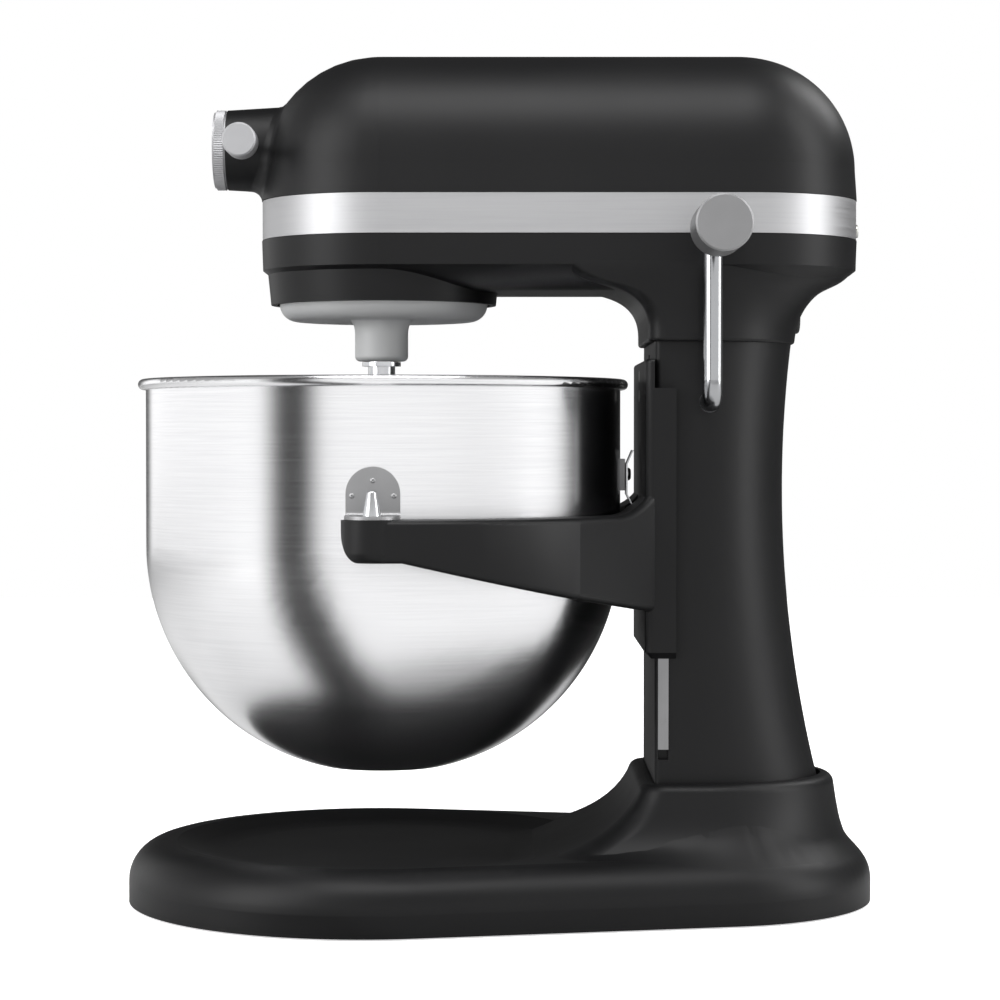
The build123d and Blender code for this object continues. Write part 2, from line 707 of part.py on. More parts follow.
def column():
    shell = column_loft(0, COLUMN_FOOT_Z, COLUMN_TOP_Z)
    hollow = column_loft(COLUMN_WALL, COLUMN_FOOT_Z, COLUMN_TOP_Z)
    hollow &= block(0, 2 * WAIST_X, -BASE_FRONT_R, BASE_FRONT_R, 0, lift_slot_top())
    for x, y in BOLT_SPOTS:
        hollow -= rod_z(COLUMN_FOOT_Z, COLUMN_FOOT_Z + BOLT_GRIP + BOLT_POST_CAP, BOLT_POST_R, x, y)
    boss_inner = -COLUMN_HALF_WIDTH + LEVER_BUSH
    hollow -= rod_y(-COLUMN_HALF_WIDTH, boss_inner, LEVER_BOSS_R, LEVER_X, LEVER_Z)
    shell -= hollow
    bush_outer = -COLUMN_HALF_WIDTH + LEVER_BUSH_INSET
    shell -= rod_y(bush_outer, boss_inner + 1, LEVER_R + LEVER_BUSH_WALL, LEVER_X, LEVER_Z)
    shell -= rod_y(-2 * COLUMN_HALF_WIDTH, bush_outer + 1, LEVER_R + GAP, LEVER_X, LEVER_Z)
    slot_half = LIFT_PLATE_HALF + LIFT_SLOT_CLEAR
    slot_foot = LIFT_PLATE_FOOT_Z - LIFT_TRAVEL - LIFT_SLOT_CLEAR
    shell -= block(
        0, COLUMN_FRONT_X + 2 * COLUMN_WALL, -slot_half, slot_half, slot_foot, lift_slot_top()
    )
    for side in (-1, 1):
        shell -= rail_box(side, 0)
        shell -= Pos(0, 0, -RAIL_GROOVE_END) * rail_box(side, 0)
        for z in rail_screw_heights():
            shell -= rail_screw(side, z)
    for x, y in BOLT_SPOTS:
        shell -= rod_z(COLUMN_FOOT_Z - 1, COLUMN_FOOT_Z + BOLT_GRIP, BOLT_R, x, y)
    for x, y in NECK_BOLT_SPOTS:
        shell -= rod_z(lift_slot_top() - 1, COLUMN_TOP_Z + 1, BOLT_R, x, y)
    return shell


def neck_bolts():
    seat = COLUMN_TOP_Z + NECK_FLOOR
    bolts = []
    for x, y in NECK_BOLT_SPOTS:
        head = Pos(x, y, seat) * extrude(RegularPolygon(BOLT_HEAD_R, 6), BOLT_HEAD)
        bolts.append(head + rod_z(COLUMN_TOP_Z - COLUMN_DECK - BOLT_POST_CAP, seat, BOLT_R, x, y))
    return group(bolts)


def neck_loft(inset):
    sections = []
    for rise, front, back, side in NECK_FLARE:
        sections.append(
            d_section(
                NECK_FRONT_X - front + inset,
                NECK_BACK_X + back - inset,
                NECK_HALF_WIDTH + side - inset,
                NECK_CORNER,
                COLUMN_TOP_Z + rise,
            )
        )
    return loft(sections)


def lower_profile(inset):
    r = HEAD_HALF_WIDTH - inset
    z = UNDERSIDE_Z + inset
    haunch = (r - 0.5, z + HAUNCH_RISE)
    return [
        Line((0, z), (KEEL_R, z)),
        TangentArc((KEEL_R, z), haunch, tangent=(1, 0)),
        Line(haunch, (r, BAND_FOOT_Z)),
        Line((r, BAND_FOOT_Z), (0, BAND_FOOT_Z)),
        Line((0, BAND_FOOT_Z), (0, z)),
    ]


def speed_slot():
    clear = SPEED_STEM / 2 + SPEED_CLEAR
    half = SPEED_STEM_THICK / 2 + SPEED_CLEAR
    return block(
        SPEED_X - SPEED_TRAVEL - clear,
        SPEED_X + clear,
        HEAD_INNER - 2 * HEAD_WALL,
        2 * HEAD_HALF_WIDTH,
        SPLIT_Z - half,
        SPLIT_Z + half,
    )


def board_posts():
    spots = (SPEED_X - SPEED_TRAVEL - BOARD_POST_INSET, SPEED_X + BOARD_POST_INSET)
    return [(x, SPLIT_Z - BOARD_POST_DROP) for x in spots]


def band_screw_spots():
    spots = []
    for side in (-1, 1):
        spots.append(Pos(HEAD_BACK_X, 0, SPLIT_Z - BAND_HEIGHT / 4) * Rot(0, 0, side * BAND_SCREW_ANGLE))
    return spots


def band_screw_solid():
    outer = HEAD_HALF_WIDTH - BAND_SEAT
    shank = rod_x(HEAD_INNER + BAND_SCREW_TIP, outer, BAND_SCREW_R)
    return shank + rod_x(outer, outer + BAND_SCREW_HEAD, 2 * BAND_SCREW_R)


def boss_top():
    return FLOOR_Z + BEARING_BOSS


def lower_housing():
    shell = loaf(lower_profile(0))
    seat_r = HEAD_HALF_WIDTH - BAND_THICK - BAND_SEAT
    shell += slot_prism(seat_r, BAND_FOOT_Z, SPLIT_Z)
    neck = neck_loft(0)
    neck = fillet(neck.edges().group_by(Axis.Z)[0], NECK_EDGE_ROUND)
    shell += neck
    skirt_top = UNDERSIDE_Z + HAUNCH_RISE - 2
    skirt_height = skirt_top - SKIRT_Z
    shell += Pos(MIX_X, 0, SKIRT_Z + skirt_height / 2) * Cone(SKIRT_R, SKIRT_TOP_R, skirt_height)
    hollow = loaf(lower_profile(HEAD_WALL)) + slot_prism(HEAD_INNER, BAND_FOOT_Z, SPLIT_Z)
    hollow += block(
        CABLE_WELL_FRONT_X,
        CABLE_WELL_BACK_X,
        -CABLE_WELL_HALF,
        CABLE_WELL_HALF,
        COLUMN_TOP_Z + NECK_FLOOR,
        UNDERSIDE_Z + HAUNCH_RISE,
    )
    for x, y in NECK_BOLT_SPOTS:
        hollow += rod_z(COLUMN_TOP_Z + NECK_FLOOR, UNDERSIDE_Z + HAUNCH_RISE, BOLT_HEAD_R + 1, x, y)
    hollow -= rod_z(SKIRT_Z, FLOOR_Z, SKIRT_TOP_R, MIX_X)
    hollow -= rod_z(SKIRT_Z, boss_top(), CENTRE_BOSS_R, MIX_X)
    hollow -= rod_z(SKIRT_Z, boss_top(), COUNTER_R + 2 * BUSH_WALL + 1, COUNTER_X)
    for side in (-1, 1):
        hollow -= rod_z(SKIRT_Z, BRIDGE_PAD_Z, BRIDGE_LEG_R, COUNTER_X, side * BRIDGE_LEG_Y)
    for x, r in ((FRONT_BRACKET_X, FRONT_BRACKET_R), (BACK_BRACKET_X, BACK_BRACKET_R)):
        hollow -= block(x, x + BRACKET_THICK, -r, r, SKIRT_Z, BRACKET_PAD_Z)
    flat_z = MOTOR_Z - STATOR_R + STATOR_FLAT
    hollow -= block(STATOR_FRONT_X, STATOR_FRONT_X + PAD_WIDTH, -PAD_HALF, PAD_HALF, SKIRT_Z, flat_z)
    for x, z in board_posts():
        hollow -= rod_y(BOARD_Y + BOARD_THICK, HEAD_HALF_WIDTH, BOARD_POST_R, x, z)
    shell -= hollow
    shell -= rod_z(0, RECESS_Z, SKIRT_R - SKIRT_WALL, MIX_X)
    bearing_r = CENTRE_SHAFT_R + BEARING_WALL
    shell -= rod_z(RECESS_Z + PLANET_CLEAR, boss_top() + 1, bearing_r, MIX_X)
    shell -= rod_z(RECESS_Z - 1, FLOOR_Z, CENTRE_SHAFT_R + CENTRE_SHAFT_PASS, MIX_X)
    bush_r = COUNTER_R + BUSH_WALL
    shell -= rod_z(boss_top() - COUNTER_BUSH, boss_top() + 1, bush_r, COUNTER_X)
    for x, y in NECK_BOLT_SPOTS:
        shell -= rod_z(COLUMN_TOP_Z - 1, COLUMN_TOP_Z + NECK_FLOOR + 1, BOLT_R, x, y)
    for side in (-1, 1):
        shell -= bridge_screw(side)
    for x, z in board_posts():
        shell -= board_screw(x, z)
    shell -= rod_x(GLAND_INNER_X, 2 * NECK_BACK_X, GLAND_R, 0, GLAND_Z)
    shell -= rod_x(gland_face(), 2 * NECK_BACK_X, GLAND_FLANGE_R + GAP, 0, GLAND_Z)
    shell -= speed_slot()
    for spot in band_screw_spots():
        shell -= spot * band_screw_solid()
    return shell


def dome_profile(inset, foot_z):
    r = HEAD_HALF_WIDTH - inset
    spring = HEAD_TOP_Z - DOME_R
    top = HEAD_TOP_Z - inset
    shoulder = DOME_FLAT + DOME_R - inset
    lean = math.sqrt(0.5) * (DOME_R - inset)
    return [
        Line((0, foot_z), (r, foot_z)),
        Line((r, foot_z), (shoulder, spring)),
        ThreePointArc((shoulder, spring), (DOME_FLAT + lean, spring + lean), (DOME_FLAT, top)),
        Line((DOME_FLAT, top), (0, top)),
        Line((0, top), (0, foot_z)),
    ]


def upper_housing():
    dome = loaf(dome_profile(0, BAND_TOP_Z))
    nose_length = NOSE_ROOT_X - NOSE_FRONT_X
    slope = (NOSE_ROOT_R - NOSE_R) / nose_length
    full = 2 * nose_length
    taper = Cone(NOSE_R, NOSE_R + slope * full, full)
    nose = Pos(NOSE_FRONT_X + full / 2, 0, HUB_Z) * Rot(0, 90, 0) * taper
    before = dome.edges() + nose.edges()
    shell = dome + nose
    joint = [e for e in shell.edges() - before if e.bounding_box().max.X < MIX_X - DOME_R / 2]
    shell = fillet(joint, NOSE_FILLET)
    seat_r = HEAD_HALF_WIDTH - BAND_THICK - BAND_SEAT
    shell += slot_prism(seat_r, SPLIT_Z, BAND_TOP_Z)
    hollow = loaf(dome_profile(HEAD_WALL, BAND_TOP_Z)) + slot_prism(HEAD_INNER, SPLIT_Z, BAND_TOP_Z)
    hollow -= rod_x(NOSE_FRONT_X, BARREL_BACK_X, NOSE_R, 0, HUB_Z)
    shell -= hollow
    shell -= rod_x(2 * NOSE_FRONT_X, NOSE_FRONT_X + CAP_SPIGOT + GAP, HUB_MOUTH_R, 0, HUB_Z)
    shell -= rod_x(2 * NOSE_FRONT_X, NOSE_FRONT_X + HUB_BORE, HUB_BORE_R, 0, HUB_Z)
    shell -= rod_x(2 * NOSE_FRONT_X, SOCKET_WELL_X, SOCKET_WELL_R, 0, HUB_Z)
    shell -= rod_x(2 * NOSE_FRONT_X, BARREL_BACK_X + 1, HUB_SHAFT_R + HUB_BUSH_WALL, 0, HUB_Z)
    shell -= rod_y(-2 * NOSE_R, 0, SCREW_SHANK_R + RUN_FIT, SCREW_X, HUB_Z)
    shell -= speed_slot()
    return shell


def trim_band():
    outer = HEAD_HALF_WIDTH - BAND_SEAT
    z0 = BAND_FOOT_Z + BAND_SEAT
    z1 = BAND_TOP_Z - BAND_SEAT
    band = slot_prism(outer, z0, z1) - slot_prism(outer - BAND_THICK, z0, z1)
    band -= speed_slot()
    for spot in band_screw_spots():
        band -= spot * band_screw_solid()
    return band


def band_screws():
    return group([spot * band_screw_solid() for spot in band_screw_spots()])


def ring_gear():
    face = PLANET_FACE + 1
    place = Plane((MIX_X, 0, RECESS_Z - face), x_dir=(0, -1, 0), z_dir=(0, 0, 1))
    return place * ring_gear_blank(face)


def ring_of(z0, z1, outer, inner, x):
    return rod_z(z0, z1, outer, x) - rod_z(z0 - 1, z1 + 1, inner, x)


def centre_bearing():
    z0 = RECESS_Z + PLANET_CLEAR
    return ring_of(z0, z0 + CENTRE_BEARING, CENTRE_SHAFT_R + BEARING_WALL, CENTRE_SHAFT_R + RUN_FIT, MIX_X)


def counter_bushes():
    top = boss_top()
    low = ring_of(top - COUNTER_BUSH, top, COUNTER_R + BUSH_WALL, COUNTER_R + RUN_FIT, COUNTER_X)
    z1 = BRIDGE_Z + BRIDGE_THICK
    high = ring_of(BRIDGE_Z, z1, COUNTER_R + BUSH_WALL, COUNTER_R + RUN_FIT, COUNTER_X)
    return group([low, high])


def bridge_screw(side):
    y = side * BRIDGE_LEG_Y
    top = BRIDGE_Z + BRIDGE_THICK
    shank = rod_z(BRIDGE_PAD_Z - BRIDGE_SCREW_GRIP, top, BRIDGE_SCREW_R, COUNTER_X, y)
    return shank + rod_z(top, top + BRIDGE_SCREW_HEAD, BRIDGE_SCREW_HEAD_R, COUNTER_X, y)


def gear_bridge():
    reach = BRIDGE_LEG_Y + BRIDGE_LEG_R
    leg_r = BRIDGE_LEG_R - BRIDGE_EDGE
    outline = RectangleRounded(2 * BRIDGE_HALF_WIDTH, 2 * reach, leg_r)
    plate = Pos(COUNTER_X, 0, BRIDGE_Z) * extrude(outline, BRIDGE_THICK)
    for side in (-1, 1):
        plate += rod_z(BRIDGE_PAD_Z, BRIDGE_Z, leg_r, COUNTER_X, side * BRIDGE_LEG_Y)
        plate -= bridge_screw(side)
    return plate - rod_z(0, 2 * BRIDGE_Z, COUNTER_R + BUSH_WALL, COUNTER_X)


def bridge_screws():
    return group([bridge_screw(side) for side in (-1, 1)])


def hub_bush():
    bush = rod_x(SOCKET_WELL_X, BARREL_BACK_X, HUB_SHAFT_R + HUB_BUSH_WALL, 0, HUB_Z)
    return bush - rod_x(2 * NOSE_FRONT_X, 0, HUB_SHAFT_R + RUN_FIT, 0, HUB_Z)


def lever_bush():
    y0 = -COLUMN_HALF_WIDTH + LEVER_BUSH_INSET
    y1 = -COLUMN_HALF_WIDTH + LEVER_BUSH
    bush = rod_y(y0, y1, LEVER_R + LEVER_BUSH_WALL, LEVER_X, LEVER_Z)
    return bush - rod_y(-2 * COLUMN_HALF_WIDTH, 0, LEVER_R + RUN_FIT, LEVER_X, LEVER_Z)


def motor_bearing_spot(bracket_x):
    return bracket_x, bracket_x + BRACKET_THICK


def motor_bearing(bracket_x):
    x0, x1 = motor_bearing_spot(bracket_x)
    race = rod_x(x0, x1, MOTOR_SHAFT_R + BEARING_WALL, 0, MOTOR_Z)
    return race - rod_x(x0 - 1, x1 + 1, MOTOR_SHAFT_R + RUN_FIT, 0, MOTOR_Z)


def motor_bearings():
    return group([motor_bearing(x) for x in (FRONT_BRACKET_X, BACK_BRACKET_X)])


def motor_bracket(bracket_x, radius):
    x0, x1 = motor_bearing_spot(bracket_x)
    plate = rod_x(x0, x1, radius, 0, MOTOR_Z)
    foot = radius - BRACKET_SHOULDER
    plate += block(x0, x1, -foot, foot, BRACKET_PAD_Z, MOTOR_Z)
    plate &= block(x0, x1, -radius, radius, BRACKET_PAD_Z, MOTOR_Z + radius)
    window = (radius + MOTOR_SHAFT_R + BEARING_WALL) / 2
    for angle in (45, 135, 225, 315):
        y = window * math.cos(math.radians(angle))
        z = window * math.sin(math.radians(angle))
        plate -= rod_x(x0 - 1, x1 + 1, radius / BRACKET_WINDOW_SHARE, y, MOTOR_Z + z)
    return plate - rod_x(x0 - 1, x1 + 1, MOTOR_SHAFT_R + BEARING_WALL, 0, MOTOR_Z)


def motor_stator():
    core = rod_x(STATOR_FRONT_X, STATOR_BACK_X, STATOR_R, 0, MOTOR_Z)
    core &= block(
        0, 2 * STATOR_BACK_X, -STATOR_R, STATOR_R, MOTOR_Z - STATOR_R + STATOR_FLAT, HEAD_TOP_Z
    )
    return core - rod_x(0, 2 * STATOR_BACK_X, STATOR_BORE_R, 0, MOTOR_Z)


def field_coils():
    coils = []
    for x0, x1 in (
        (STATOR_FRONT_X - COIL_OVERHANG, STATOR_FRONT_X),
        (STATOR_BACK_X, STATOR_BACK_X + COIL_OVERHANG),
    ):
        coil = rod_x(x0, x1, COIL_R, 0, MOTOR_Z) - rod_x(x0 - 1, x1 + 1, STATOR_BORE_R, 0, MOTOR_Z)
        coils.append(fillet(coil.edges().filter_by(GeomType.CIRCLE), COIL_ROUND))
    return group(coils)


def commutator_span():
    x0 = STATOR_BACK_X + COMMUTATOR_GAP
    return x0, x0 + COMMUTATOR


def brush_holders():
    x0, x1 = commutator_span()
    middle = (x0 + x1) / 2
    half = BRUSH_SIZE / 2
    inner = COMMUTATOR_R + GAP
    brushes = []
    for side in (-1, 1):
        y0, y1 = sorted((side * inner, side * (inner + BRUSH_LENGTH)))
        arm = block(middle - half, BACK_BRACKET_X, y0, y1, MOTOR_Z - half, MOTOR_Z + half)
        brushes.append(arm)
    return group(brushes)


def speed_board():
    x0, x1 = [x for x, z in board_posts()]
    z0 = SPLIT_Z - BOARD_HEIGHT / 2
    inset = BOARD_POST_R + 1
    board = block(x0 - inset, x1 + inset, BOARD_Y, BOARD_Y + BOARD_THICK, z0, z0 + BOARD_HEIGHT)
    for x, z in board_posts():
        board -= board_screw(x, z)
    return board


def board_screw(x, z):
    shank = rod_y(BOARD_Y, BOARD_Y + 3 * BOARD_THICK, BOARD_SCREW_R, x, z)
    return shank + rod_y(BOARD_Y - BOARD_SCREW_HEAD, BOARD_Y, 2 * BOARD_SCREW_R, x, z)


def board_screws():
    return group([board_screw(x, z) for x, z in board_posts()])


def gland_face():
    return NECK_BACK_X + GLAND_SEAT


def cord_gland():
    face_x = gland_face()
    flange = rod_x(face_x, face_x + GLAND_FLANGE, GLAND_FLANGE_R, 0, GLAND_Z)
    flange = fillet(flange.edges().group_by(Axis.X)[-1], GLAND_ROUND)
    tube = flange + rod_x(GLAND_INNER_X, face_x, GLAND_R, 0, GLAND_Z)
    return tube - rod_x(0, 2 * face_x, GLAND_HOLE_R, 0, GLAND_Z)


def agitator_axis():
    return MIX_X, -PLANET_OFFSET


def planetary_carrier():
    x, y = agitator_axis()
    disc = rod_z(CARRIER_Z, CARRIER_TOP_Z, CARRIER_R, MIX_X)
    disc = fillet(disc.edges().group_by(Axis.Z)[0], CARRIER_ROUND)
    boss = rod_z(BOSS_Z, CARRIER_Z + 1, BOSS_R, x, y)
    boss = fillet(boss.edges().group_by(Axis.Z)[0], BOSS_ROUND)
    joined = disc + boss
    seam = [
        e
        for e in joined.edges().filter_by(GeomType.CIRCLE)
        if abs(e.radius - BOSS_R) < 0.01 and abs(e.center().Z - CARRIER_Z) < 0.01
    ]
    joined = fillet(seam, BOSS_FILLET)
    joined += rod_z(CARRIER_TOP_Z, RECESS_Z - CARRIER_HUB_CLEAR, CARRIER_HUB_R, MIX_X)
    joined -= rod_z(CARRIER_Z + CENTRE_SHAFT_SINK, RECESS_Z, CENTRE_SHAFT_R, MIX_X)
    return joined - rod_z(0, RECESS_Z, JOURNAL_R + AGITATOR_BUSH_WALL, x, y)


def shaft_bush():
    x, y = agitator_axis()
    bush = rod_z(BOSS_Z, CARRIER_TOP_Z, JOURNAL_R + AGITATOR_BUSH_WALL, x, y)
    return bush - rod_z(0, RECESS_Z, JOURNAL_R + RUN_FIT, x, y)


def centre_bevel_z():
    return HUB_Z - HUB_MODULE * HUB_TEETH / 2


def centre_shaft():
    return rod_z(CARRIER_Z + CENTRE_SHAFT_SINK, centre_bevel_z(), CENTRE_SHAFT_R, MIX_X)


def main_gear():
    blank = spur_gear(MAIN_TEETH, SPUR_MODULE, SPUR_FACE, CENTRE_SHAFT_R, 0)
    return Pos(MIX_X, 0, MAIN_Z) * blank


def centre_bevel():
    place = Plane((MIX_X, 0, centre_bevel_z()), x_dir=(-1, 0, 0), z_dir=(0, 0, 1))
    return place * bevel_gear(CENTRE_TEETH, HUB_TEETH, HUB_MODULE, HUB_FACE, CENTRE_SHAFT_R, HUB_BACK, 0)


def agitator_foot():
    return BOSS_Z - AGITATOR_DROP


def agitator_shaft():
    x, y = agitator_axis()
    foot = agitator_foot()
    free_end = rod_z(foot, foot + AGITATOR_END, AGITATOR_R, x, y)
    free_end = chamfer(free_end.edges().group_by(Axis.Z)[0], AGITATOR_CHAMFER)
    journal = rod_z(foot + AGITATOR_END, RECESS_Z - PLANET_CLEAR, JOURNAL_R, x, y)
    return free_end + journal - cross_pin()


def cross_pin():
    x, y = agitator_axis()
    return rod_x(x - CROSS_PIN_HALF, x + CROSS_PIN_HALF, CROSS_PIN_R, y, BOSS_Z - CROSS_PIN_DROP)


def shaft_washer():
    x, y = agitator_axis()
    top = BOSS_Z - GAP
    washer = rod_z(top - WASHER_THICK, top, WASHER_R, x, y)
    return washer - rod_z(0, BOSS_Z, JOURNAL_R, x, y)


def planet_pinion():
    x, y = agitator_axis()
    place = Plane((x, y, RECESS_Z - PLANET_CLEAR - PLANET_FACE), x_dir=(0, -1, 0), z_dir=(0, 0, 1))
    return place * spur_gear(PLANET_TEETH, PLANET_MODULE, PLANET_FACE, JOURNAL_R, 180 / PLANET_TEETH)


def counter_shaft():
    # The pinion is cut on the shaft
    place = Plane((COUNTER_X, 0, MAIN_Z), x_dir=(-1, 0, 0), z_dir=(0, 0, 1))
    pinion = place * spur_gear(COUNTER_TEETH, SPUR_MODULE, SPUR_FACE, PILOT_R, 180 / COUNTER_TEETH)
    return pinion + rod_z(boss_top() - COUNTER_BUSH, WHEEL_Z, COUNTER_R, COUNTER_X)


def bevel_wheel():
    wheel = bevel_gear(WHEEL_TEETH, PINION_TEETH, BEVEL_MODULE, WHEEL_FACE, COUNTER_R, WHEEL_RIM, 0)
    hub = Pos(0, 0, -(WHEEL_RIM + WHEEL_BODY) / 2) * Cylinder(2 * COUNTER_R, WHEEL_BODY - WHEEL_RIM)
    hub -= Cylinder(COUNTER_R, 4 * WHEEL_BODY)
    return Pos(COUNTER_X, 0, WHEEL_Z) * (wheel + hub)


def pinion_x():
    return COUNTER_X + BEVEL_MODULE * WHEEL_TEETH / 2


def motor_shaft():
    # The bevel pinion is cut on the shaft
    place = Plane((pinion_x(), 0, MOTOR_Z), x_dir=(0, 0, -1), z_dir=(-1, 0, 0))
    pinion = place * bevel_gear(
        PINION_TEETH, WHEEL_TEETH, BEVEL_MODULE, WHEEL_FACE, PILOT_R, PINION_BACK, 180 / PINION_TEETH
    )
    return pinion + rod_x(pinion_x(), BACK_BRACKET_X + BRACKET_THICK, MOTOR_SHAFT_R, 0, MOTOR_Z)


def rotor_core():
    x0 = STATOR_FRONT_X + ROTOR_INSET
    x1 = STATOR_BACK_X - ROTOR_INSET
    core = rod_x(x0, x1, ROTOR_R, 0, MOTOR_Z)
    for index in range(ROTOR_SLOTS):
        angle = 2 * math.pi * index / ROTOR_SLOTS
        y = ROTOR_R * math.cos(angle)
        z = MOTOR_Z + ROTOR_R * math.sin(angle)
        core -= rod_x(x0 - 1, x1 + 1, ROTOR_SLOT_R, y, z)
    return core - rod_x(0, 2 * x1, MOTOR_SHAFT_R, 0, MOTOR_Z)


def commutator():
    x0, x1 = commutator_span()
    return rod_x(x0, x1, COMMUTATOR_R, 0, MOTOR_Z) - rod_x(0, 2 * x1, MOTOR_SHAFT_R, 0, MOTOR_Z)


def motor_fan():
    fan = rod_x(FAN_X, FAN_X + FAN_PLATE, FAN_R, 0, MOTOR_Z)
    fan += rod_x(FAN_X, FAN_X + FAN_LENGTH, 2 * MOTOR_SHAFT_R, 0, MOTOR_Z)
    blade = block(FAN_X, FAN_X + FAN_LENGTH, MOTOR_SHAFT_R, FAN_R, -FAN_PLATE / 2, FAN_PLATE / 2)
    for index in range(FAN_BLADES):
        fan += Pos(0, 0, MOTOR_Z) * Rot(360 / FAN_BLADES * index, 0, 0) * blade
    return fan - rod_x(0, 2 * FAN_X, MOTOR_SHAFT_R, 0, MOTOR_Z)


def hub_bevel_x():
    return MIX_X - HUB_MODULE * CENTRE_TEETH / 2


def hub_bevel():
    place = Plane((hub_bevel_x(), 0, HUB_Z), x_dir=(0, 0, -1), z_dir=(1, 0, 0))
    return place * bevel_gear(
        HUB_TEETH, CENTRE_TEETH, HUB_MODULE, HUB_FACE, HUB_SHAFT_R, HUB_BACK, 180 / HUB_TEETH
    )


def hub_shaft():
    front = SOCKET_WELL_X - GAP
    shaft = rod_x(front, hub_bevel_x(), HUB_SHAFT_R, 0, HUB_Z)
    shaft += rod_x(front - SOCKET_LENGTH, front, SOCKET_R, 0, HUB_Z)
    half = SOCKET_SQUARE / 2
    mouth = front - SOCKET_LENGTH
    return shaft - block(mouth - 1, mouth + SOCKET_DEPTH, -half, half, HUB_Z - half, HUB_Z + half)


def hub_cap():
    front = NOSE_FRONT_X - RUN_FIT - CAP_THICK
    disc = rod_x(front, front + CAP_THICK, CAP_R, 0, HUB_Z)
    disc = chamfer(disc.edges().filter_by(GeomType.CIRCLE), CAP_CHAMFER)
    points = []
    for index in range(CAP_RIBS):
        for half, radius in ((0, CAP_R), (0.5, CAP_R - CAP_RIB_DEPTH)):
            angle = 2 * math.pi * (index + half) / CAP_RIBS
            points.append((radius * math.cos(angle), radius * math.sin(angle)))
    knurl = extrude(make_face(Polyline(*points, close=True)), CAP_THICK - 2 * CAP_CHAMFER)
    band = Plane((front + CAP_CHAMFER, 0, HUB_Z), x_dir=(0, 0, 1), z_dir=(1, 0, 0)) * knurl
    core = rod_x(front, front + CAP_THICK, CAP_R - CAP_CHAMFER, 0, HUB_Z)
    disc &= band + core
    spigot_r = HUB_MOUTH_R - RUN_FIT
    return disc + rod_x(front + CAP_THICK, NOSE_FRONT_X + CAP_SPIGOT, spigot_r, 0, HUB_Z)


def hub_screw():
    shank_tip = -HUB_BORE_R - GAP
    knob_back = -NOSE_ROOT_R - SCREW_NECK
    knob = rod_y(knob_back - SCREW_KNOB, knob_back, SCREW_KNOB_R, SCREW_X, HUB_Z)
    knob = chamfer(knob.edges().filter_by(GeomType.CIRCLE), SCREW_CHAMFER)
    return knob + rod_y(knob_back, shank_tip, SCREW_SHANK_R, SCREW_X, HUB_Z)


def lift_lever():
    top_z = LEVER_Z + LEVER_LENGTH
    points = [
        (LEVER_X, CRANK_Y, LEVER_Z),
        (LEVER_X, LEVER_ROD_Y, LEVER_Z),
        (LEVER_X, LEVER_ROD_Y, top_z),
        (LEVER_X, LEVER_KNOB_Y - LEVER_KNOB_HOLE, top_z),
    ]
    path = FilletPolyline(*points, radius=LEVER_BEND)
    section = Plane(points[0], x_dir=(1, 0, 0), z_dir=(0, -1, 0)) * Circle(LEVER_R)
    rod = sweep(section, path)
    return rod + rod_y(CRANK_Y, CRANK_Y + CRANK_THICK, LEVER_R, LEVER_X, LEVER_Z)


def lift_knob():
    y0 = LEVER_KNOB_Y - LEVER_KNOB
    z = LEVER_Z + LEVER_LENGTH
    knob = rod_y(y0, LEVER_KNOB_Y, LEVER_KNOB_R, LEVER_X, z)
    knob = chamfer(knob.edges().filter_by(GeomType.CIRCLE), LEVER_KNOB_CHAMFER)
    return knob - rod_y(LEVER_KNOB_Y - LEVER_KNOB_HOLE, 0, LEVER_R, LEVER_X, z)


def crank_pin_spot():
    angle = math.radians(CRANK_START)
    return LEVER_X + CRANK_R * math.sin(angle), LEVER_Z + CRANK_R * math.cos(angle)


def lift_crank():
    pin_x, pin_z = crank_pin_spot()
    face = make_hull(
        (Pos(LEVER_X, LEVER_Z) * Circle(LEVER_R + CRANK_HUB_WALL)).edges()
        + (Pos(pin_x, pin_z) * Circle(CRANK_PIN_R + CRANK_EYE_WALL)).edges()
    )
    y1 = CRANK_Y + CRANK_THICK
    arm = Pos(0, y1, 0) * extrude(Plane.XZ * face, CRANK_THICK)
    arm -= rod_y(CRANK_Y - 1, y1 + 1, LEVER_R, LEVER_X, LEVER_Z)
    return arm + rod_y(y1, y1 + CRANK_PIN, CRANK_PIN_R, pin_x, pin_z)


def lift_rises():
    # Height of the crank pin over the lever shaft as the support sees it, through the stroke
    rises = []
    for step in range(CRANK_STEPS + 1):
        share = step / CRANK_STEPS
        turn = math.radians(CRANK_START + LEVER_TURN * share)
        rises.append(CRANK_R * math.cos(turn) + LIFT_TRAVEL * share)
    return min(rises), max(rises)


def lift_plate():
    low, high = lift_rises()
    slot_low = LEVER_Z + low - CRANK_PIN_R - GAP
    slot_high = LEVER_Z + high + CRANK_PIN_R + GAP
    last = math.radians(CRANK_START + LEVER_TURN)
    slot_x0 = LEVER_X + CRANK_R * math.sin(last) - CRANK_PIN_R - 2 * GAP
    slot_x1 = LEVER_X + CRANK_R + CRANK_PIN_R + 2 * GAP
    x0 = support_back()
    half = LIFT_PLATE_HALF
    x1 = slot_x1 + LIFT_SLOT_WALL
    plate = block(x0, x1, -half, half, LIFT_PLATE_FOOT_Z, slot_high + LIFT_SLOT_WALL)
    plate -= block(slot_x0, slot_x1, -2 * half, 2 * half, slot_low, slot_high)
    for z in lift_screw_heights():
        plate -= lift_screw(z)
    return plate


def lift_screw_heights():
    low = LIFT_PLATE_FOOT_Z + LIFT_SCREW_INSET
    return low, low + LIFT_SCREW_PITCH


def lift_screw(z):
    head_back = SUPPORT_FRONT_X + LIFT_SCREW_HEAD
    head = rod_x(SUPPORT_FRONT_X, head_back, LIFT_SCREW_HEAD_R, 0, z)
    return head + rod_x(head_back, support_back() + LIFT_SCREW, LIFT_SCREW_R, 0, z)


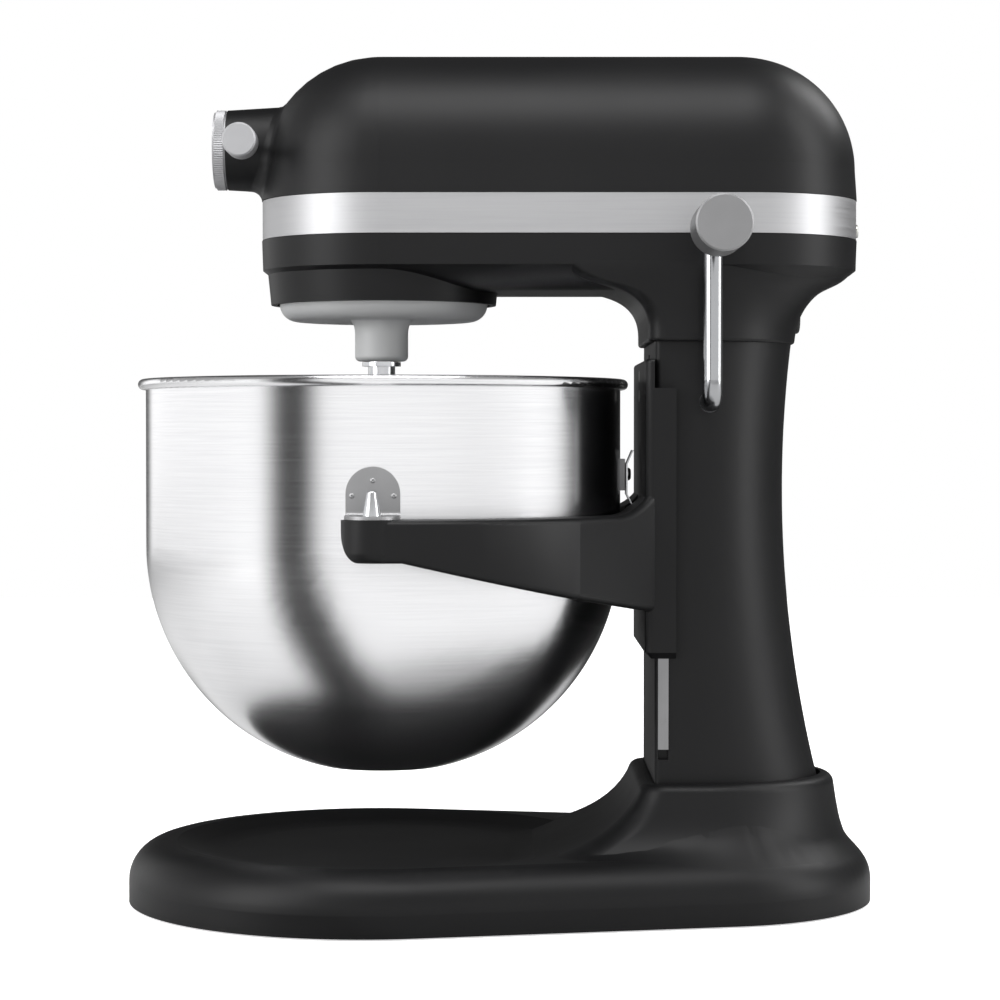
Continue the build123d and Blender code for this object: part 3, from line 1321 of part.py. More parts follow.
def lift_screws():
    return group([lift_screw(z) for z in lift_screw_heights()])


def support_back():
    return COLUMN_FRONT_X - GAP


def yoke_plan():
    sweep_angle = math.radians(ARM_SWEEP)
    elbow = (MIX_X + ARM_OUTER_R * math.cos(sweep_angle), ARM_OUTER_R * math.sin(sweep_angle))
    root = (support_back(), COLUMN_HALF_WIDTH + GAP + FLANGE_THICK)
    edges = [
        CenterArc((MIX_X, 0), ARM_OUTER_R, ARM_SWEEP, 90 - ARM_SWEEP),
        Line(elbow, root),
        Line(root, (root[0], -root[1])),
        Line((root[0], -root[1]), (elbow[0], -elbow[1])),
        CenterArc((MIX_X, 0), ARM_OUTER_R, -90, 90 - ARM_SWEEP),
        Line((MIX_X, -ARM_OUTER_R), (MIX_X, ARM_OUTER_R)),
    ]
    return make_face(edges)


def yoke_side():
    tip_z = ARM_TOP_Z - ARM_TIP_HEIGHT
    root_z = ARM_TOP_Z - ARM_ROOT_HEIGHT
    front = MIX_X - 2 * ARM_BOSS_R
    back = support_back()
    bend = back - ARM_GUSSET
    lean = ARM_GUSSET * math.sqrt(0.5)
    top = ARM_TOP_Z + ARM_GUSSET
    edges = [
        Line((front, ARM_TOP_Z), (bend, ARM_TOP_Z)),
        ThreePointArc((bend, ARM_TOP_Z), (bend + lean, top - lean), (back, top)),
        Line((back, top), (back, root_z - ARM_HEEL)),
        Line((back, root_z - ARM_HEEL), (MIX_X + ARM_BOSS_R, tip_z)),
        Line((MIX_X + ARM_BOSS_R, tip_z), (front, tip_z)),
        Line((front, tip_z), (front, ARM_TOP_Z)),
    ]
    return make_face(edges)


def bowl_support():
    back = support_back()
    outer = COLUMN_HALF_WIDTH + GAP + FLANGE_THICK
    plate = block(SUPPORT_FRONT_X, back, -outer, outer, SUPPORT_FOOT_Z, SUPPORT_TOP_Z)
    for side in (-1, 1):
        y0, y1 = sorted((side * (outer - FLANGE_THICK), side * outer))
        plate += block(SUPPORT_FRONT_X, FLANGE_BACK_X, y0, y1, SUPPORT_FOOT_Z, FLANGE_TOP_Z)
    corner = [e for e in plate.edges().filter_by(Axis.Z) if e.center().X < SUPPORT_FRONT_X + 0.1]
    plate = fillet(corner, FLANGE_THICK - 1)
    ends = [e for e in plate.edges().group_by(Axis.Z)[0] if abs(e.center().Y) > outer - 0.1]
    plate = chamfer(ends, FLANGE_CHAMFER)
    rim = [e for e in plate.edges().group_by(Axis.Z)[-1] if e.center().X < SUPPORT_FRONT_X + 0.1]
    plate = fillet(rim, PLATE_EDGE_ROUND)
    arms = extrude(yoke_plan(), SUPPORT_TOP_Z)
    wide = 2 * ARM_OUTER_R
    arms &= Pos(0, wide / 2, 0) * extrude(Plane.XZ * yoke_side(), wide)
    outside = [
        e
        for e in arms.edges()
        if abs(e.center().Y) > outer and MIX_X < e.center().X < back - FLANGE_CHAMFER
    ]
    arms = fillet(outside, ARM_EDGE_ROUND)
    tip_z = ARM_TOP_Z - ARM_TIP_HEIGHT
    for side in (-1, 1):
        boss = rod_z(tip_z, ARM_TOP_Z, ARM_BOSS_R, MIX_X, side * PIN_Y)
        arms += fillet(boss.edges().group_by(Axis.Z)[0], ARM_BOSS_ROUND)
    arms -= rod_z(0, HEAD_TOP_Z, BOWL_R + BOWL_CLEAR, MIX_X)
    half = POCKET_HALF_WIDTH
    arms -= block(0, SUPPORT_FRONT_X, -half, half, POCKET_FOOT_Z, HEAD_TOP_Z)
    casting = plate + arms
    for side in (-1, 1):
        # the groove runs out through the flange's top, so the rail slides clear of it
        casting -= rail_box(side, GAP)
        casting -= Pos(0, 0, SUPPORT_TOP_Z - RAIL_TOP_Z) * rail_box(side, GAP)
        casting -= bowl_pin(side)
    for z in lift_screw_heights():
        casting -= lift_screw(z)
    return casting


def bowl_pin(side):
    y = side * PIN_Y
    shank = rod_z(ARM_TOP_Z - PIN_SHANK, ARM_TOP_Z, PIN_SHANK_R, MIX_X, y)
    return shank + Pos(MIX_X, y, ARM_TOP_Z + PIN_HEIGHT / 2) * Cone(PIN_R, PIN_TIP_R, PIN_HEIGHT)


def bowl_pins():
    return group([bowl_pin(side) for side in (-1, 1)])


def latch_line():
    # Front line of the spring strip: foot on the plate, then out to the bowl, lip at the top
    foot_x = SUPPORT_FRONT_X - LATCH_THICK
    face_x = MIX_X + BOWL_R + LATCH_PLATE + GAP
    return [
        (foot_x, LATCH_FOOT_Z),
        (foot_x, LATCH_KNEE_Z),
        (face_x, LATCH_HIP_Z),
        (face_x, LATCH_LIP_Z),
        (face_x + LATCH_LIP_OUT, LATCH_TOP_Z),
    ]


def latch_spring():
    front = latch_line()
    back = [(x + LATCH_THICK, z) for x, z in reversed(front)]
    strip = make_face(Polyline(*front, *back, close=True))
    return Pos(0, LATCH_HALF_WIDTH, 0) * extrude(Plane.XZ * strip, 2 * LATCH_HALF_WIDTH)


def latch_rivet():
    x0 = MIX_X + BOWL_R + LATCH_PLATE + GAP + LATCH_THICK
    rivet = rod_x(x0, x0 + RIVET_HEIGHT, RIVET_R, 0, RIVET_Z)
    return fillet(rivet.edges().group_by(Axis.X)[-1], RIVET_HEIGHT * 0.8)


def bowl_shell_solid(inset):
    centre_r = BOWL_R - BOWL_ARC_R
    arc_r = BOWL_ARC_R - inset
    foot_z = BOWL_FOOT_Z + inset
    drop = BOWL_SPRING_Z - foot_z
    foot_r = centre_r + math.sqrt(arc_r**2 - drop**2)
    wall_r = BOWL_R - inset
    lean = math.radians(BOWL_ARC_VIA)
    middle = (centre_r + arc_r * math.cos(lean), BOWL_SPRING_Z - arc_r * math.sin(lean))
    edges = [
        Line((0, foot_z), (foot_r, foot_z)),
        ThreePointArc((foot_r, foot_z), middle, (wall_r, BOWL_SPRING_Z)),
        Line((wall_r, BOWL_SPRING_Z), (wall_r, BOWL_RIM_Z)),
        Line((wall_r, BOWL_RIM_Z), (0, BOWL_RIM_Z)),
        Line((0, BOWL_RIM_Z), (0, foot_z)),
    ]
    return revolve(Plane.XZ * make_face(edges), Axis.Z, 360)


def bowl_shell():
    shell = bowl_shell_solid(0) - bowl_shell_solid(BOWL_WALL)
    bead = Pos(0, 0, BOWL_RIM_Z) * Torus(BOWL_R + BOWL_WALL, BOWL_BEAD_R)
    return Pos(MIX_X, 0, 0) * (shell + bead)


def wall_band(thick, z0, z1):
    band = rod_z(z0, z1, BOWL_R + thick, MIX_X)
    return band - rod_z(z0 - 1, z1 + 1, BOWL_R, MIX_X)


def bowl_bracket(side):
    z0 = ARM_TOP_Z + BRACKET_SEAT
    half = BRACKET_HALF_WIDTH
    y0, y1 = sorted((0, side * 2 * BOWL_R))
    round_z = BRACKET_TOP_Z - half
    outline = block(MIX_X - half, MIX_X + half, y0, y1, z0, round_z)
    outline += rod_y(y0, y1, half, MIX_X, round_z)
    plate = wall_band(BRACKET_PLATE, z0, BRACKET_TOP_Z) & outline
    ty0, ty1 = sorted((0, side * PIN_Y))
    tab = block(MIX_X - half, MIX_X + half, ty0, ty1, z0, z0 + BRACKET_PLATE)
    tab += rod_z(z0, z0 + BRACKET_PLATE, half, MIX_X, side * PIN_Y)
    tab -= rod_z(0, HEAD_TOP_Z, BOWL_R, MIX_X)
    tab -= rod_z(0, HEAD_TOP_Z, BRACKET_HOLE_R, MIX_X, side * PIN_Y)
    return plate + tab


def bowl_brackets():
    return group([bowl_bracket(side) for side in (-1, 1)])


def latch_plate():
    half = LATCH_PLATE_HALF_WIDTH
    band = wall_band(LATCH_PLATE, LATCH_PLATE_FOOT_Z, LATCH_PLATE_TOP_Z)
    return band & block(MIX_X, 2 * BOWL_R, -half, half, 0, HEAD_TOP_Z)


def speed_slide():
    half = SPEED_STEM / 2
    thick = SPEED_STEM_THICK / 2
    y0 = BOARD_Y + BOARD_THICK + GAP
    y1 = HEAD_HALF_WIDTH + SPEED_KNOB_GAP + SPEED_SOCKET
    return block(SPEED_X - half, SPEED_X + half, y0, y1, SPLIT_Z - thick, SPLIT_Z + thick)


def speed_knob():
    half = SPEED_KNOB_WIDTH / 2
    tall = SPEED_KNOB_HEIGHT / 2
    y0 = HEAD_HALF_WIDTH + SPEED_KNOB_GAP
    y1 = y0 + SPEED_KNOB_REACH
    knob = block(SPEED_X - half, SPEED_X + half, y0, y1, SPLIT_Z - tall, SPLIT_Z + tall)
    knob = fillet(knob.edges(), SPEED_KNOB_ROUND)
    return knob - speed_slide()


parts = {
    "base_casting": base_casting,
    "rubber_feet": rubber_feet,
    "base_bolts": base_bolts,
    "column": column,
    "guide_rails": guide_rails,
    "rail_screws": rail_screws,
    "lower_housing": lower_housing,
    "neck_bolts": neck_bolts,
    "upper_housing": upper_housing,
    "trim_band": trim_band,
    "band_screws": band_screws,
    "ring_gear": ring_gear,
    "centre_bearing": centre_bearing,
    "counter_bushes": counter_bushes,
    "gear_bridge": gear_bridge,
    "bridge_screws": bridge_screws,
    "hub_bush": hub_bush,
    "lever_bush": lever_bush,
    "motor_stator": motor_stator,
    "field_coils": field_coils,
    "motor_bracket_front": lambda: motor_bracket(FRONT_BRACKET_X, FRONT_BRACKET_R),
    "motor_bracket_back": lambda: motor_bracket(BACK_BRACKET_X, BACK_BRACKET_R),
    "motor_bearings": motor_bearings,
    "brush_holders": brush_holders,
    "speed_board": speed_board,
    "board_screws": board_screws,
    "cord_gland": cord_gland,
    "planetary_carrier": planetary_carrier,
    "shaft_bush": shaft_bush,
    "centre_shaft": centre_shaft,
    "main_gear": main_gear,
    "centre_bevel": centre_bevel,
    "agitator_shaft": agitator_shaft,
    "cross_pin": cross_pin,
    "shaft_washer": shaft_washer,
    "planet_pinion": planet_pinion,
    "counter_shaft": counter_shaft,
    "bevel_wheel": bevel_wheel,
    "motor_shaft": motor_shaft,
    "rotor_core": rotor_core,
    "commutator": commutator,
    "motor_fan": motor_fan,
    "hub_bevel": hub_bevel,
    "hub_shaft": hub_shaft,
    "hub_cap": hub_cap,
    "hub_screw": hub_screw,
    "lift_lever": lift_lever,
    "lift_knob": lift_knob,
    "lift_crank": lift_crank,
    "lift_plate": lift_plate,
    "lift_screws": lift_screws,
    "bowl_support": bowl_support,
    "bowl_pins": bowl_pins,
    "latch_spring": latch_spring,
    "latch_rivet": latch_rivet,
    "bowl_shell": bowl_shell,
    "bowl_brackets": bowl_brackets,
    "latch_plate": latch_plate,
    "speed_slide": speed_slide,
    "speed_knob": speed_knob,
}
for name, build in parts.items():
    export_step(build(), f"parts/{name}.step")
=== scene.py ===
# %% [markdown]
# A bowl-lift stand mixer, dressed around its CAD frame.
# The CAD model already holds every piece at its true size, so this lesson is mostly about looks:
# we load the frame, match the camera, light it like a small product studio, give every piece the
# finish that its maker gave it, and model the small forms that a CAD solid leaves out.

# %% Load the frame
import math
import bpy
import bmesh
from mathutils import Matrix, Vector
from mathutils.bvhtree import BVHTree


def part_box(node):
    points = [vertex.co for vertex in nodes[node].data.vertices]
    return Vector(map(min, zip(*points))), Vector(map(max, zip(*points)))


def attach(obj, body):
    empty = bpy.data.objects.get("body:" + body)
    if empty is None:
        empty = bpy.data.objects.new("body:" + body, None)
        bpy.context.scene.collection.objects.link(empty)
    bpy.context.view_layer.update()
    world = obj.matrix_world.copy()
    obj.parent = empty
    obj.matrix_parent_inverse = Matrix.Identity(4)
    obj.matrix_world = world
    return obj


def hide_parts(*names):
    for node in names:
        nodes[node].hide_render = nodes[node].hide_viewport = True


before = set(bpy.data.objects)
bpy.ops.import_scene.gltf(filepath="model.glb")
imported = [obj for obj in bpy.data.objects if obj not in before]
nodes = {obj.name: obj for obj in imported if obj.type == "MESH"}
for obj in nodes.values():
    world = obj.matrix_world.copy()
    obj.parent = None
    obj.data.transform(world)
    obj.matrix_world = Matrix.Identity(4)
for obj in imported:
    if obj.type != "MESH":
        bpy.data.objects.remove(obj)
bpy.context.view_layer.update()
MM = 0.001
MERGE = 1e-6

# %% [markdown]
# Every place below is read from the frame, so that nothing drifts if the CAD changes.
# The mixing axis is the upright line through the middle of the bowl and of the planetary.

# %% Places read from the frame
bowl_low, bowl_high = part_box("bowl_shell")
mix_x = (bowl_low.x + bowl_high.x) / 2
band_low, band_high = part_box("trim_band")
bracket_low, bracket_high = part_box("bowl_brackets")
print("mixing axis at x =", round(mix_x / MM, 2), "mm, band from", round(band_low.z / MM, 1), "to",
      round(band_high.z / MM, 1), "mm")

# %% [markdown]
# The photograph was taken from the lever side, a little above half height, with a long lens.
# Perspective gave the distance: the near and the far edge of the base differ in scale by a fixed share.
# We place the camera there and tilt it down slightly instead of shifting the lens.

# %% Camera
CAMERA_DISTANCE = 1.350
CAMERA_HEIGHT = 0.2305
CAMERA_LENS = 97.2
CAMERA_TILT = 1.336
camera_data = bpy.data.cameras.new("photo_camera")
camera_data.lens = CAMERA_LENS
camera_data.sensor_width = 36.0
camera = bpy.data.objects.new("photo_camera", camera_data)
camera.location = (0.0, -CAMERA_DISTANCE, CAMERA_HEIGHT)
camera.rotation_euler = (math.radians(90.0 - CAMERA_TILT), 0.0, 0.0)
bpy.context.scene.collection.objects.link(camera)
bpy.context.scene.camera = camera
bpy.context.scene.view_settings.view_transform = "Standard"
print("camera", CAMERA_DISTANCE, "m away, lens", CAMERA_LENS, "mm")

# %% [markdown]
# Colours are easiest to choose as sRGB hex values, but shaders work in linear light.
# One function turns the first into the second, and one small function adds a node, sets its values
# and links its inputs. A node given as an input stands for its first output, which keeps chains short.

# %% Colour and node helpers
def linear(hex_colour):
    values = [int(hex_colour[i:i + 2], 16) / 255 for i in (1, 3, 5)]
    return [v / 12.92 if v <= 0.04045 else ((v + 0.055) / 1.055) ** 2.4 for v in values] + [1.0]


def add(tree, kind, settings=None, links=None):
    node = tree.nodes.new(kind)
    for name, value in (settings or {}).items():
        if isinstance(name, int) or name in node.inputs:
            node.inputs[name].default_value = value
        else:
            setattr(node, name, value)
    for name, source in (links or {}).items():
        tree.links.new(getattr(source, "outputs", [source])[0], node.inputs[name])
    return node


def start_material(name, settings):
    material = bpy.data.materials.new(name)
    material.use_nodes = True
    tree = material.node_tree
    shader = tree.nodes["Principled BSDF"]
    for socket, value in settings.items():
        shader.inputs[socket].default_value = value
    place = add(tree, "ShaderNodeTexCoord").outputs["Object"]
    return material, tree, shader, place


print("mid grey #808080 in linear light:", round(linear("#808080")[0], 4))

# %% [markdown]
# The studio is plain: a pale floor, a white surround and four soft boxes.
# The surround has to do two jobs. The camera should see white, and metal should see a studio:
# bright walls in front and at the sides, a dim ceiling and a dim back, and one dark gap between two walls,
# which draws the upright dark stripe on the bowl. Light Path tells the two apart,
# so the white behind the mixer adds no light to it.
# Each term is one smooth step: of the azimuth for the gap, of the height for the ceiling,
# and of the depth for the back. The back stays bright at the far left, where the left wall runs on round.

# %% World
STUDIO_LEVEL = 0.50
WALL_LEVEL = 1.30
GAP_AZIMUTH = 42.0
GAP_HALF_ANGLE = 11.0
GAP_SOFT = 14.0
GAP_LEVEL = 0.04
CEILING_LEVEL = 0.30
CEILING_START = 0.20
CEILING_END = 0.60
BACK_LEVEL = 0.08
BACK_START = -0.10
BACK_END = 0.40
HORIZON_LOW = -0.12
HORIZON_HIGH = -0.03
LEFT_WALL_END = -0.65
LEFT_WALL_START = -0.35
RIGHT_START = 0.10
RIGHT_END = 0.50
world = bpy.data.worlds.new("white_studio")
bpy.context.scene.world = world
world.use_nodes = True
sky = world.node_tree
sky.nodes.clear()


def gap_factor(tree, x, y):
    towards = add(tree, "ShaderNodeMath", {"operation": "MULTIPLY", 1: -1.0}, {0: y})
    azimuth = add(tree, "ShaderNodeMath", {"operation": "ARCTAN2"}, {0: x, 1: towards})
    turned = add(tree, "ShaderNodeMath", {"operation": "ADD", 1: math.radians(GAP_AZIMUTH)}, {0: azimuth})
    aside = add(tree, "ShaderNodeMath", {"operation": "ABSOLUTE"}, {0: turned})
    return add(tree, "ShaderNodeMapRange", {
        "interpolation_type": "SMOOTHSTEP", "To Min": GAP_LEVEL, "To Max": 1.0,
        "From Min": math.radians(GAP_HALF_ANGLE - GAP_SOFT / 2),
        "From Max": math.radians(GAP_HALF_ANGLE + GAP_SOFT / 2)}, {"Value": aside})


direction = add(sky, "ShaderNodeSeparateXYZ", links={0: add(sky, "ShaderNodeTexCoord").outputs["Generated"]})
dx, dy, dz = direction.outputs
smooth = {"interpolation_type": "SMOOTHSTEP"}
ceiling = add(sky, "ShaderNodeMapRange", smooth | {
    "From Min": CEILING_START, "From Max": CEILING_END, "To Min": 1.0, "To Max": CEILING_LEVEL}, {"Value": dz})
above = add(sky, "ShaderNodeMapRange", smooth | {"From Min": HORIZON_LOW, "From Max": HORIZON_HIGH}, {"Value": dz})
middle = add(sky, "ShaderNodeMapRange", smooth | {
    "From Min": LEFT_WALL_END, "From Max": LEFT_WALL_START}, {"Value": dx})
over = add(sky, "ShaderNodeMath", {"operation": "MULTIPLY"}, {0: above, 1: middle})
right = add(sky, "ShaderNodeMapRange", smooth | {"From Min": RIGHT_START, "From Max": RIGHT_END}, {"Value": dx})
rear = add(sky, "ShaderNodeMapRange", smooth | {"From Min": BACK_START, "From Max": BACK_END}, {"Value": dy})
dimmed = add(sky, "ShaderNodeMath", {"operation": "MAXIMUM"}, {0: over, 1: right})
behind = add(sky, "ShaderNodeMath", {"operation": "MULTIPLY"}, {0: rear, 1: dimmed})
back = add(sky, "ShaderNodeMapRange", smooth | {"To Min": 1.0, "To Max": BACK_LEVEL}, {"Value": behind})
room = add(sky, "ShaderNodeMath", {"operation": "MULTIPLY"}, {0: ceiling, 1: back})
split = add(sky, "ShaderNodeMath", {"operation": "MULTIPLY"}, {0: room, 1: gap_factor(sky, dx, dy)})
mirrored = add(sky, "ShaderNodeMath", {"operation": "MULTIPLY", 1: WALL_LEVEL}, {0: split})
lit = add(sky, "ShaderNodeMath", {"operation": "MULTIPLY", 1: STUDIO_LEVEL}, {0: ceiling})
rays = add(sky, "ShaderNodeLightPath").outputs
inside = add(sky, "ShaderNodeMix", {"data_type": "FLOAT"},
             {"Factor": rays["Is Glossy Ray"], "A": lit, "B": mirrored})
clear = add(sky, "ShaderNodeMath", {"operation": "MAXIMUM"},
            {0: rays["Is Camera Ray"], 1: rays["Is Transmission Ray"]})
level = add(sky, "ShaderNodeMix", {"data_type": "FLOAT", "B": 1.0}, {"Factor": clear, "A": inside})
surround = add(sky, "ShaderNodeBackground", {"Color": (1, 1, 1, 1)}, {"Strength": level})
add(sky, "ShaderNodeOutputWorld", links={"Surface": surround})
print("surround: diffuse light", STUDIO_LEVEL, "walls", WALL_LEVEL, "with a gap at", GAP_AZIMUTH, "degrees")

# %% [markdown]
# The castings are aluminium and zinc, powder coated in matte black. The powder melts into a skin with a
# very fine grain, so the eye sees a soft broad sheen and no mirror image. Two noises draw that:
# a slow one for the slight unevenness of the coat, and a grain that is drawn at 0.9 mm, coarser than
# the real 0.2 mm, because the real one is smaller than a pixel here.
# A material ends in the same three sockets each time, so one line of code links them.

# %% Powder coat
COAT_GRAIN = 0.9 * MM
COAT_PATCH = 70 * MM


def dress(tree, shader, colour, rough, bump):
    ends = {"Base Color": colour.outputs[2], "Roughness": rough.outputs[0], "Normal": bump.outputs[0]}
    for socket, source in ends.items():
        tree.links.new(source, shader.inputs[socket])


def powder_coat_black():
    material, tree, shader, place = start_material(
        "powder_coat_matte_black", {"Specular IOR Level": 0.21, "IOR": 1.5})
    patch = add(tree, "ShaderNodeTexNoise", {"Scale": 1 / COAT_PATCH, "Detail": 3.0}, {"Vector": place})
    colour = add(tree, "ShaderNodeMix",
                 {"data_type": "RGBA", 6: linear("#0a0a0b"), 7: linear("#101011")}, {0: patch})
    rough = add(tree, "ShaderNodeMapRange", {"To Min": 0.40, "To Max": 0.50}, {"Value": patch})
    grain = add(tree, "ShaderNodeTexNoise", {"Scale": 1 / COAT_GRAIN, "Detail": 2.0}, {"Vector": place})
    bump = add(tree, "ShaderNodeBump", {"Strength": 0.12, "Distance": 0.1 * MM}, {"Height": grain})
    dress(tree, shader, colour, rough, bump)
    return material


print("powder coat grain drawn at", COAT_GRAIN / MM, "mm")

# %% [markdown]
# The bowl is drawn from stainless sheet and brushed while it spins, so its lines run round it.
# A line pattern that changes quickly along the profile and slowly round the bowl gives that.
# Height plus radius grows steadily along the whole profile, wall and bottom alike, so it measures the profile.
# The real lines are a tenth of a millimetre apart: here they are 0.8 mm, so that the render can show them.
# Fine lines smear a reflection across themselves, up and down, and keep it sharp along themselves.
# The shader's anisotropy does that once it is turned by a quarter, because it stretches along the tangent,
# which runs round the upright axis.

# %% Brushed metals
BRUSH_LINE = 0.8 * MM
BRUSH_STROKE = 55 * MM
STRIP_LINE = 0.9 * MM
STRIP_STROKE = 45 * MM
QUARTER_TURN = 0.25


def brushed_lines(tree, place, axis_x, line, stroke, round_the_axis):
    centred = add(tree, "ShaderNodeVectorMath", {"operation": "SUBTRACT", 1: (axis_x, 0, 0)}, {0: place})
    x, y, profile = add(tree, "ShaderNodeSeparateXYZ", links={0: centred}).outputs
    if round_the_axis:
        flat = add(tree, "ShaderNodeCombineXYZ", links={"X": x, "Y": y})
        radius = add(tree, "ShaderNodeVectorMath", {"operation": "LENGTH"}, {0: flat}).outputs["Value"]
        profile = add(tree, "ShaderNodeMath", {"operation": "ADD"}, {0: profile, 1: radius})
    fine = add(tree, "ShaderNodeMath", {"operation": "MULTIPLY", 1: stroke / line}, {0: profile})
    spread = add(tree, "ShaderNodeCombineXYZ", links={"X": x, "Y": y, "Z": fine})
    return add(tree, "ShaderNodeTexNoise",
               {"Scale": 1 / stroke, "Detail": 4.0, "Roughness": 0.6}, {"Vector": spread})


def brushed(name, dark, light, rough_low, rough_high, axis_x, line, stroke, round_the_axis, anisotropy):
    material, tree, shader, place = start_material(name, {
        "Metallic": 1.0, "Anisotropic": anisotropy, "Anisotropic Rotation": QUARTER_TURN})
    lines = brushed_lines(tree, place, axis_x, line, stroke, round_the_axis)
    colour = add(tree, "ShaderNodeMix", {"data_type": "RGBA", 6: linear(dark), 7: linear(light)}, {0: lines})
    rough = add(tree, "ShaderNodeMapRange", {
        "From Min": 0.3, "From Max": 0.7, "To Min": rough_low, "To Max": rough_high}, {"Value": lines})
    bump = add(tree, "ShaderNodeBump", {"Strength": 0.015, "Distance": 0.05 * MM}, {"Height": lines})
    dress(tree, shader, colour, rough, bump)
    return material


print("brush lines drawn", BRUSH_LINE / MM, "mm apart on the bowl,", STRIP_LINE / MM, "mm on the band")

# %% [markdown]
# Painted, plated, moulded and machined pieces share one recipe: a base colour that wanders a little,
# a roughness that wanders with it, and a grain of the size that the making left behind.

# %% Plain finishes with a grain
def grained(name, dark, light, metallic, rough_low, rough_high, patch, grain, grain_strength):
    material, tree, shader, place = start_material(name, {"Metallic": metallic})
    slow = add(tree, "ShaderNodeTexNoise", {"Scale": 1 / patch, "Detail": 3.0}, {"Vector": place})
    colour = add(tree, "ShaderNodeMix", {"data_type": "RGBA", 6: linear(dark), 7: linear(light)}, {0: slow})
    rough = add(tree, "ShaderNodeMapRange", {"To Min": rough_low, "To Max": rough_high}, {"Value": slow})
    fine = add(tree, "ShaderNodeTexNoise", {"Scale": 1 / grain, "Detail": 2.0}, {"Vector": place})
    bump = add(tree, "ShaderNodeBump", {"Strength": grain_strength, "Distance": 0.05 * MM}, {"Height": fine})
    dress(tree, shader, colour, rough, bump)
    return material


print("plain finishes start from one recipe")

# %% [markdown]
# Now each record slot gets its finish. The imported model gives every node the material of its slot,
# so replacing the material in that slot dresses all its pieces in one loop.

# %% Finishes by slot
finishes = {
    # matte black powder coat: soft wide sheen, no mirror image
    "black_enamel": powder_coat_black(),
    # stainless sheet brushed on the spinning lathe: sharp along the lines, blurred across them
    "polished_steel": brushed("stainless_brushed_in_the_round", "#d7d7d9", "#f1f1f2", 0.22, 0.25,
                              mix_x, BRUSH_LINE, BRUSH_STROKE, True, 0.75),
    # aluminium strip brushed along its length: level streaks
    "band_aluminium": brushed("aluminium_strip_brushed_lengthwise", "#9f9fa1", "#b3b3b4", 0.46, 0.56,
                              0.0, STRIP_LINE, STRIP_STROKE, False, 0.25),
    # bright plating over polished steel: a clear mirror
    "hub_chrome": grained("chromium_plate_bright", "#98999b", "#a4a5a7", 1.0, 0.16, 0.22, 30 * MM, 1.2 * MM, 0.01),
    # satin anodised turning: pale and soft, so that the knurl reads as fine even lines
    "cap_satin": grained("aluminium_anodised_satin", "#98989a", "#a4a4a6", 0.6, 0.46, 0.54,
                         15 * MM, 0.7 * MM, 0.03),
    # satin silver paint over a die casting: grey with a soft gleam
    "planet_grey": grained("silver_grey_enamel_satin", "#b4b5b6", "#bebfbf", 0.05, 0.45, 0.55,
                           40 * MM, 0.8 * MM, 0.05),
    # satin plated die casting: a soft gradient and a bright turned edge
    "knob_satin": grained("zinc_die_cast_satin_nickel", "#828283", "#8e8e8f", 0.9, 0.40, 0.50,
                          20 * MM, 0.7 * MM, 0.04),
    # pressed sheet, tumbled to a satin: even grey with bright edges
    "bracket_steel": grained("stainless_pressed_tumbled", "#8b8b8c", "#979798", 1.0, 0.40, 0.50,
                             15 * MM, 0.6 * MM, 0.05),
    # ground bar: bright with faint uneven patches of oil
    "shaft_steel": grained("steel_turned_and_ground", "#b5b6b8", "#c9cacc", 1.0, 0.18, 0.28, 12 * MM, 0.8 * MM, 0.03),
    # cut teeth, oiled: darker, with a broken gleam
    "gear_steel": grained("steel_cut_and_oiled", "#77787a", "#8f9092", 1.0, 0.28, 0.42, 9 * MM, 0.6 * MM, 0.05),
    # plated fasteners: pale, faintly yellow in places
    "fastener_zinc": grained("steel_zinc_plated", "#a9abab", "#c4c3bb", 1.0, 0.25, 0.38, 5 * MM, 0.6 * MM, 0.05),
    # pressed powder: dull gold with open pores
    "bush_bronze": grained("bronze_sintered", "#8a6a3d", "#a5834f", 1.0, 0.38, 0.52, 6 * MM, 0.5 * MM, 0.12),
    # wound wire under lacquer: red brown with a wire grain
    "coil_copper": grained("copper_wire_lacquered", "#7c3f22", "#a3572f", 0.9, 0.25, 0.40, 8 * MM, 0.9 * MM, 0.25),
    # polished mould: a tight gleam on black
    "black_plastic": grained("abs_moulded_black", "#0e0e0f", "#161617", 0.0, 0.25, 0.36, 25 * MM, 0.9 * MM, 0.05),
    # matte mould: no gleam at all
    "dark_rubber": grained("rubber_moulded_black", "#0d0d0d", "#171717", 0.0, 0.62, 0.78, 15 * MM, 0.8 * MM, 0.15),
    # laminate: green with a woven unevenness
    "board_green": grained("glass_epoxy_board_green", "#1c4a2a", "#245a35", 0.0, 0.30, 0.45, 4 * MM, 0.7 * MM, 0.10),
}
for obj in nodes.values():
    for material_slot in obj.material_slots:
        slot_name = material_slot.material.name.split(".")[0]
        material_slot.material = finishes[slot_name]
# ground flat bar, satin from sliding: a duller grey than the turned shafts
finishes["rail_bar"] = grained("steel_flat_bar_satin", "#808081", "#8d8d8e", 1.0, 0.34, 0.44,
                               12 * MM, 0.7 * MM, 0.04)
nodes["guide_rails"].material_slots[0].material = finishes["rail_bar"]
nodes["rail_screws"].material_slots[0].material = finishes["rail_bar"]
nodes["lever_bush"].material_slots[0].material = finishes["gear_steel"]
nodes["hub_screw"].material_slots[0].material = finishes["cap_satin"]
print("dressed", len(nodes), "nodes with", len(finishes), "finishes")

# %% [markdown]
# The planetary carrier is the grey disc that carries the agitator's boss round the bowl's axis.
# Its lower edge is rolled over widely, more than the plain round of the CAD disc.
# The edge could be beveled again, but the disc already has a ring of points along that round,
# so we take a copy, merge its loose triangles, and slide that ring onto the wider arc.

# %% Wider roll on the planetary carrier
CARRIER_R = 51.75 * MM
CARRIER_ROLL = 4.0 * MM
WIDE_ROLL = 8.5 * MM
SMOOTH_ANGLE = math.radians(35)


